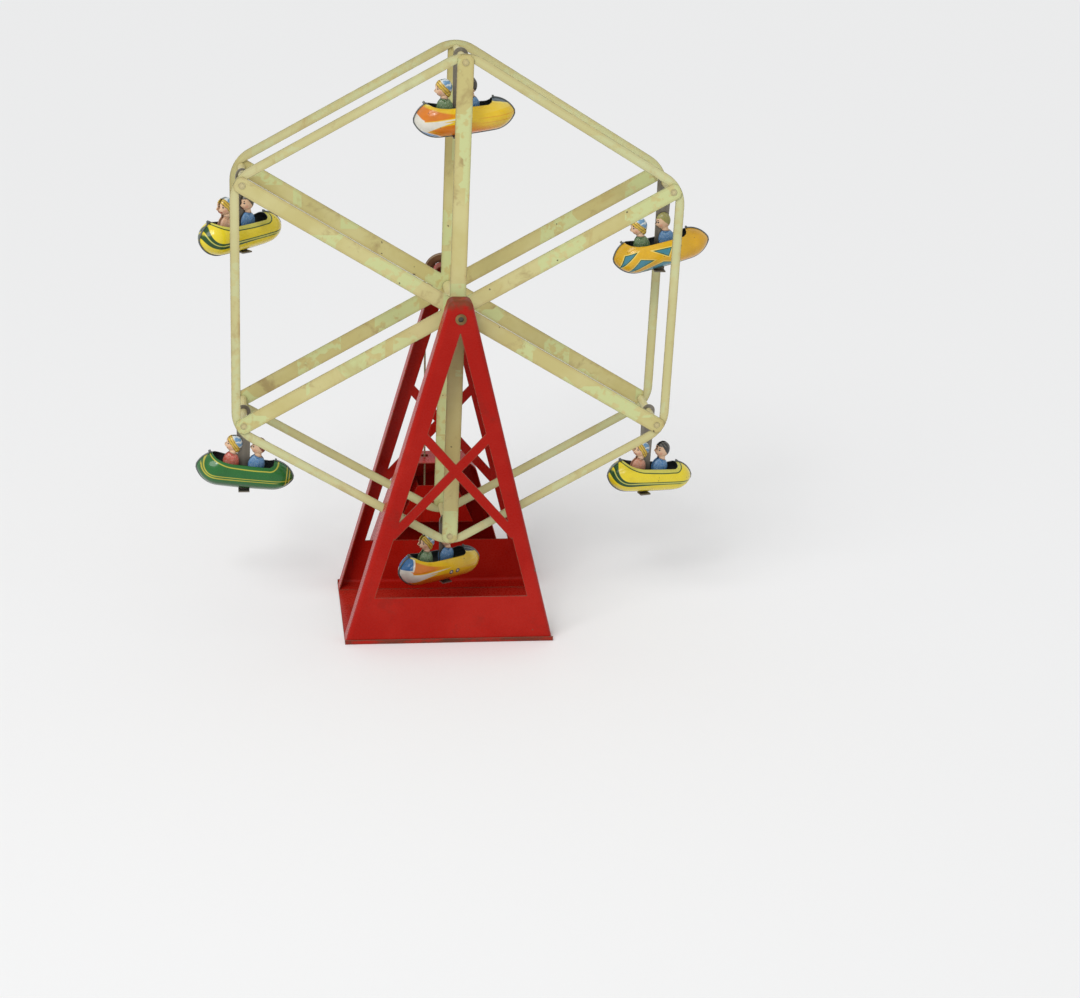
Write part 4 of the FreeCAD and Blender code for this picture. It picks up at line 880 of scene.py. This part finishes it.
def sweepLivery(number):
    # a line that sweeps from the cockpit round the nose and back along the belly, with a second below
    kind = seatings[number - 1]["livery"]
    c, s = liveryColors, sweepSettings[kind]
    material, tree, shader = newMaterial(kind + "Print%d" % number)
    place, x, z = keptPlace(tree, "hullPlace")
    color = blend(tree, span(tree, z, -7.5, -4.0), c[s["belly"]], c[s["body"]])
    # distance out from a half ring round the nose that runs on along the hull
    half = span(tree, x, *sweepShape["halfHeight"])
    ahead = calc(tree, "MINIMUM", plus(tree, x, sweepShape["bend"]), 0.0)
    across = calc(tree, "DIVIDE", ahead, sweepShape["reach"])
    rise = calc(tree, "DIVIDE", minus(tree, z, sweepShape["middle"]), half)
    ring = calc(tree, "SQRT", plus(tree, times(tree, across, across), times(tree, rise, rise)))
    out = times(tree, minus(tree, ring, 1.0), half)
    low = span(tree, z, 4.5, 2.5)
    wide = span(tree, x, -26.0, -8.0, s["wide"], s["narrow"])
    drawn = calc(tree, "MAXIMUM", low, span(tree, x, -17.0, -18.5))
    lineMask = times(tree, bandOf(tree, out, 0.0, wide), drawn)
    between = times(tree, bandOf(tree, out, 0.0, plus(tree, wide, 1.5)), low)
    color = blend(tree, times(tree, between, span(tree, x, 28.0, 20.0)), color, c[s["between"]])
    color = blend(tree, lineMask, color, c[s["line"]])
    start = plus(tree, wide, span(tree, x, -24.0, -12.0, 0.5, 0.9))
    secondWide = span(tree, x, -25.0, 10.0, 1.2 * s["wide"], 0.5)
    second = times(tree, bandOf(tree, out, start, plus(tree, start, secondWide)), low)
    color = blend(tree, times(tree, second, span(tree, x, 22.0, 18.0)), color, c[s["line"]])
    # a line that follows the cockpit's rim
    rim = aboveLine(tree, x, z, rimLine)
    color = blend(tree, span(tree, rim, 0.0, 0.3, 0.0, 0.75), color, c[s["rimBand"]])
    color = blend(tree, bandOf(tree, rim, -0.3, 0.3), color, c[s["line"]])
    for start, end in s["tailBands"]:
        color = blend(tree, bandOf(tree, x, start, end), color, c[s["tail"]])
    printedTin(tree, shader, color, place, number)
    return material


liveries = {"rocket": rocketLivery, "wedges": wedgesLivery, "lemon": sweepLivery, "green": sweepLivery}


def makeHull(number):
    seat = gondolaSeat(number)
    livery = liveries[seatings[number - 1]["livery"]](number)
    for side, hand in (("near", -1), ("far", 1)):
        bm = hullHalf(hand)
        name = "%sHull%d" % (side, number)
        hull = addPiece(name, bm, seat, "gondola_%d" % number, [livery, made["shadedSlateTin"]],
                        attribute="hullPlace")
        wall = hull.modifiers.new("wall", "SOLIDIFY")
        wall.thickness = hullSettings["wall"] * mm
        wall.offset = -1.0
        # the inner faces and rims take the slate tin, whose darkness is partly painted cockpit shade
        wall.material_offset = 1
        wall.material_offset_rim = 1
        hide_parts("%s_shell_%d" % (side, number))
        bm = bmesh.new()
        tabAt(bm, *tabSettings["front"], hand)
        tabAt(bm, *tabSettings["rear"], hand)
        addPiece(side + "Tabs%d" % number, bm, seat, "gondola_%d" % number, [made["shadedSlateTin"]])


for number in gondolaNumbers:
    makeHull(number)
print("hulls ready")


# riders: two printed half-relief figures on each side of the hanger

figureSettings = {
    # each blob: along, up, half sizes along, out and up, faces round
    "woman": {"along": -9.0, "headUp": 17.3, "head": (4.2, 2.7, 5.0), "blobs": (
        (1.4, 17.7, (4.5, 3.0, 4.8), 24), (2.4, 14.3, (2.4, 2.2, 2.6), 16),
        (0.6, 11.4, (2.2, 1.9, 3.4), 16), (0.4, 5.4, (5.0, 2.2, 6.4), 24),
        (1.2, 6.2, (2.4, 2.5, 4.8), 16), (0.2, 1.2, (4.6, 1.7, 5.2), 24))},
    "man": {"along": 6.5, "headUp": 17.4, "head": (4.0, 2.7, 5.0), "blobs": (
        (0.9, 17.8, (4.1, 3.0, 4.9), 24), (0.6, 11.6, (2.2, 1.9, 3.4), 16),
        (0.4, 5.6, (5.2, 2.2, 6.4), 24), (1.2, 6.4, (2.4, 2.5, 4.8), 16),
        (0.2, 1.4, (4.784, 1.7, 5.2), 24))},
    # how far nose, brow and chin stand out, their height on the head and how wide they spread
    "profile": ((1.15, -1.3, 0.75), (-0.55, 0.2, 0.8), (0.45, -3.4, 0.7)),
    "faceStart": 1.4, "faceDepth": 3.0, "sheetFace": 1.0,
    "panelPlace": (-1.4, 0.75, -3.4), "panelSize": (29.6, 0.5, 10.0),
}
figureColors = {
    "hair": (0.60, 0.39, 0.045), "strand": (0.14, 0.11, 0.02), "scarf": (0.13, 0.27, 0.44),
    "scarfStripe": (0.60, 0.65, 0.66), "shine": (0.30, 0.28, 0.22), "blush": (0.62, 0.16, 0.10),
    "collar": (0.10, 0.06, 0.03), "womanLight": (0.62, 0.60, 0.45), "manCloth": (0.065, 0.20, 0.43),
    "manLight": (0.45, 0.60, 0.68),
}
# place, size and ink of the eye, the brow and the lips
faceMarks = (
    ((-2.9, 17.5), 0.42, (0.03, 0.03, 0.04)),
    ((-2.9, 18.7), 0.34, (0.13, 0.07, 0.03)),
    ((-3.5, 14.3), 0.45, (0.50, 0.04, 0.03)),
)
skin = (0.72, 0.47, 0.30)
dressColors = ((0.085, 0.18, 0.06), (0.085, 0.18, 0.06), (0.55, 0.22, 0.13), (0.13, 0.24, 0.11),
               (0.50, 0.070, 0.045), (0.56, 0.30, 0.17))
hairColors = ((0.05, 0.04, 0.03), (0.28, 0.26, 0.07), (0.035, 0.035, 0.035), (0.10, 0.08, 0.04),
              (0.22, 0.055, 0.03), (0.06, 0.05, 0.03))


def figurePrint(number, kind):
    c = figureColors
    material, tree, shader = newMaterial("%sPrint%d" % (kind, number))
    place, x, z = keptPlace(tree, "figurePlace")
    wobble = times(tree, minus(tree, noise(tree, place, 0.6, 3.0), 0.5), 1.4)
    # distance behind the hairline, which slants back from the brow to the neck
    back = times(tree, x, 0.77)
    up = times(tree, minus(tree, z, 17.3), 0.64)
    slant = plus(tree, plus(tree, back, up), wobble)
    if kind == "woman":
        color = blend(tree, span(tree, slant, -1.3, -1.0), skin, c["hair"])
        strands = bandOf(tree, calc(tree, "SINE", times(tree, slant, 4.6)), 0.72, 2.0, 0.2)
        color = blend(tree, times(tree, strands, span(tree, slant, -1.3, -1.0)), color, c["strand"])
        scarf = span(tree, slant, 2.1, 2.3)
        weave = plus(tree, z, times(tree, noise(tree, place, 0.5, 2.0), 5.0))
        stripes = bandOf(tree, calc(tree, "SINE", times(tree, weave, 2.1)), 0.1, 2.0, 0.35)
        color = blend(tree, scarf, color, blend(tree, stripes, c["scarf"], c["scarfStripe"]))
        cloth, light = dressColors[number - 1], c["womanLight"]
    else:
        color = blend(tree, span(tree, slant, 0.5, 0.8), skin, hairColors[number - 1])
        crown = span(tree, plus(tree, z, wobble), 19.6, 19.9)
        color = blend(tree, crown, color, hairColors[number - 1])
        shine = bandOf(tree, calc(tree, "SINE", times(tree, slant, 3.4)), 0.8, 2.0, 0.15)
        color = blend(tree, times(tree, shine, times(tree, crown, 0.5)), color, c["shine"])
        cloth, light = c["manCloth"], c["manLight"]
    for spot, size, ink in faceMarks:
        mark = span(tree, circleDistance(tree, x, z, spot, size), 0.15, -0.1)
        color = blend(tree, mark, color, ink)
    cheek = span(tree, circleDistance(tree, x, z, (-1.7, 15.3), 0.2), 1.4, 0.0, 0.0, 0.45)
    color = blend(tree, cheek, color, c["blush"])
    # clothes below the neck, drawn over with light folds
    jaw = plus(tree, z, times(tree, x, 0.25))
    clothed = span(tree, jaw, 11.6, 11.3)
    folds = noise(tree, place, 0.75, 3.0, 0.6, 1.6)
    scribble = bandOf(tree, calc(tree, "SINE", times(tree, folds, 34.0)), 0.74, 2.0, 0.2)
    fabric = blend(tree, times(tree, scribble, 0.7), cloth, light)
    color = blend(tree, clothed, color, fabric)
    edge = bandOf(tree, jaw, 11.3, 11.9, 0.15)
    color = blend(tree, times(tree, edge, 0.6), color, c["collar"])
    rough = span(tree, folds, 0.3, 0.7, 0.28, 0.42)
    finishShader(tree, shader, color, rough, 0.0, folds, 0.2, 0.15)
    return material


def reliefBlob(bm, centre, radii, hand, segments=24):
    # a domed shape that stands out from the sheet on one side only
    ball = bmesh.ops.create_uvsphere(bm, u_segments=segments, v_segments=segments // 2, radius=1.0,
                                     matrix=Matrix.Diagonal((*radii, 1.0)))["verts"]
    for vert in ball:
        if vert.co.y * hand < 0:
            vert.co.y = 0.0
    bmesh.ops.translate(bm, verts=ball, vec=centre)
    return ball


def makeFigure(bm, kind, hand, index):
    f, s = figureSettings, figureSettings[kind]
    face = hand * f["sheetFace"]
    before = set(bm.faces)
    # nose, brow and chin are pushed in or out of the front of the head
    for vert in reliefBlob(bm, (0.0, face, s["headUp"]), s["head"], hand):
        ahead = max(0.0, -vert.co.x - f["faceStart"]) / f["faceDepth"]
        up = vert.co.z - s["headUp"]
        push = sum(out * math.exp(-((up - middle) / wide) ** 2) for out, middle, wide in f["profile"])
        vert.co.x -= ahead * push
    for along, up, radii, segments in s["blobs"]:
        reliefBlob(bm, (along, face, up), radii, hand, segments)
    for item in bm.faces:
        if item not in before:
            item.material_index = index
    return {v for item in bm.faces if item not in before for v in item.verts}


def makeRiders(number):
    seat = gondolaSeat(number)
    prints = [figurePrint(number, "woman"), figurePrint(number, "man"), made["shadedSlateTin"]]
    shift = seatings[number - 1]["riders"]
    for side, hand in (("near", -1), ("far", 1)):
        bm = bmesh.new()
        places = {}
        for index, kind in enumerate(("woman", "man")):
            own = makeFigure(bm, kind, hand, index)
            for vert in own:
                places[vert] = vert.co.copy()
            bmesh.ops.translate(bm, verts=list(own), vec=(figureSettings[kind]["along"] + shift, 0.0, 0.0))
        # the plain sheet inside the hull that carries both figures
        along, out, up = figureSettings["panelPlace"]
        panel = bmesh.ops.create_cube(bm, size=1.0, matrix=Matrix.Translation((along, hand * out, up)) @
                                      Matrix.Diagonal((*figureSettings["panelSize"], 1.0)))
        for vert in panel["verts"]:
            places[vert] = vert.co.copy()
            for face in vert.link_faces:
                face.material_index = 2
        bm.verts.index_update()
        order = sorted(places, key=lambda v: v.index)
        values = [c for vert in order for c in places[vert]]
        piece = addPiece("%sRiders%d" % (side, number), bm, seat, "gondola_%d" % number, prints)
        spots = piece.data.attributes.new("figurePlace", "FLOAT_VECTOR", "POINT")
        spots.data.foreach_set("vector", values)
        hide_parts("%s_riders_%d" % (side, number))


for number in gondolaNumbers:
    makeRiders(number)
print("riders ready")


# drive cord, whose twist is drawn on the loop, with painted shade in the grooves between its strands

cordSettings = {
    "paint": (0.36, 0.27, 0.15), "faded": (0.50, 0.41, 0.26), "grime": (0.12, 0.075, 0.04),
    "fading": 0.8, "dirt": 0.6,
    "groove": (0.10, 0.065, 0.035), "lint": (0.60, 0.50, 0.34),
    "lay": (2600.0, 3600.0, 5200.0), "fibreScale": 2600.0, "toneScale": 60.0,
}


def cordPrint():
    c = cordSettings
    material, tree, shader = newMaterial("twistedCotton")
    place = objectPlace(tree)
    x, y, z = split(tree, place)
    shade = toned(tree, place, c, c["toneScale"])
    along = plus(tree, times(tree, z, c["lay"][2]), times(tree, y, c["lay"][1]))
    lay = calc(tree, "SINE", plus(tree, along, times(tree, x, c["lay"][0])))
    fibre = noise(tree, place, c["fibreScale"], 3.0, 0.7)
    # painted shade darkens the grooves of the drawn twist
    color = blend(tree, span(tree, lay, -0.2, -0.9, 0.0, 0.7), shade["Color"], c["groove"])
    color = blend(tree, span(tree, fibre, 0.5, 0.75, 0.0, 0.4), color, c["lint"])
    rough = span(tree, fibre, 0.3, 0.7, 0.75, 0.95)
    height = plus(tree, lay, times(tree, fibre, 0.4))
    finishShader(tree, shader, color, rough, 0.0, height, 0.15, specular=0.2)
    return material


dress("drive_cord", cordPrint())
print("cord ready")
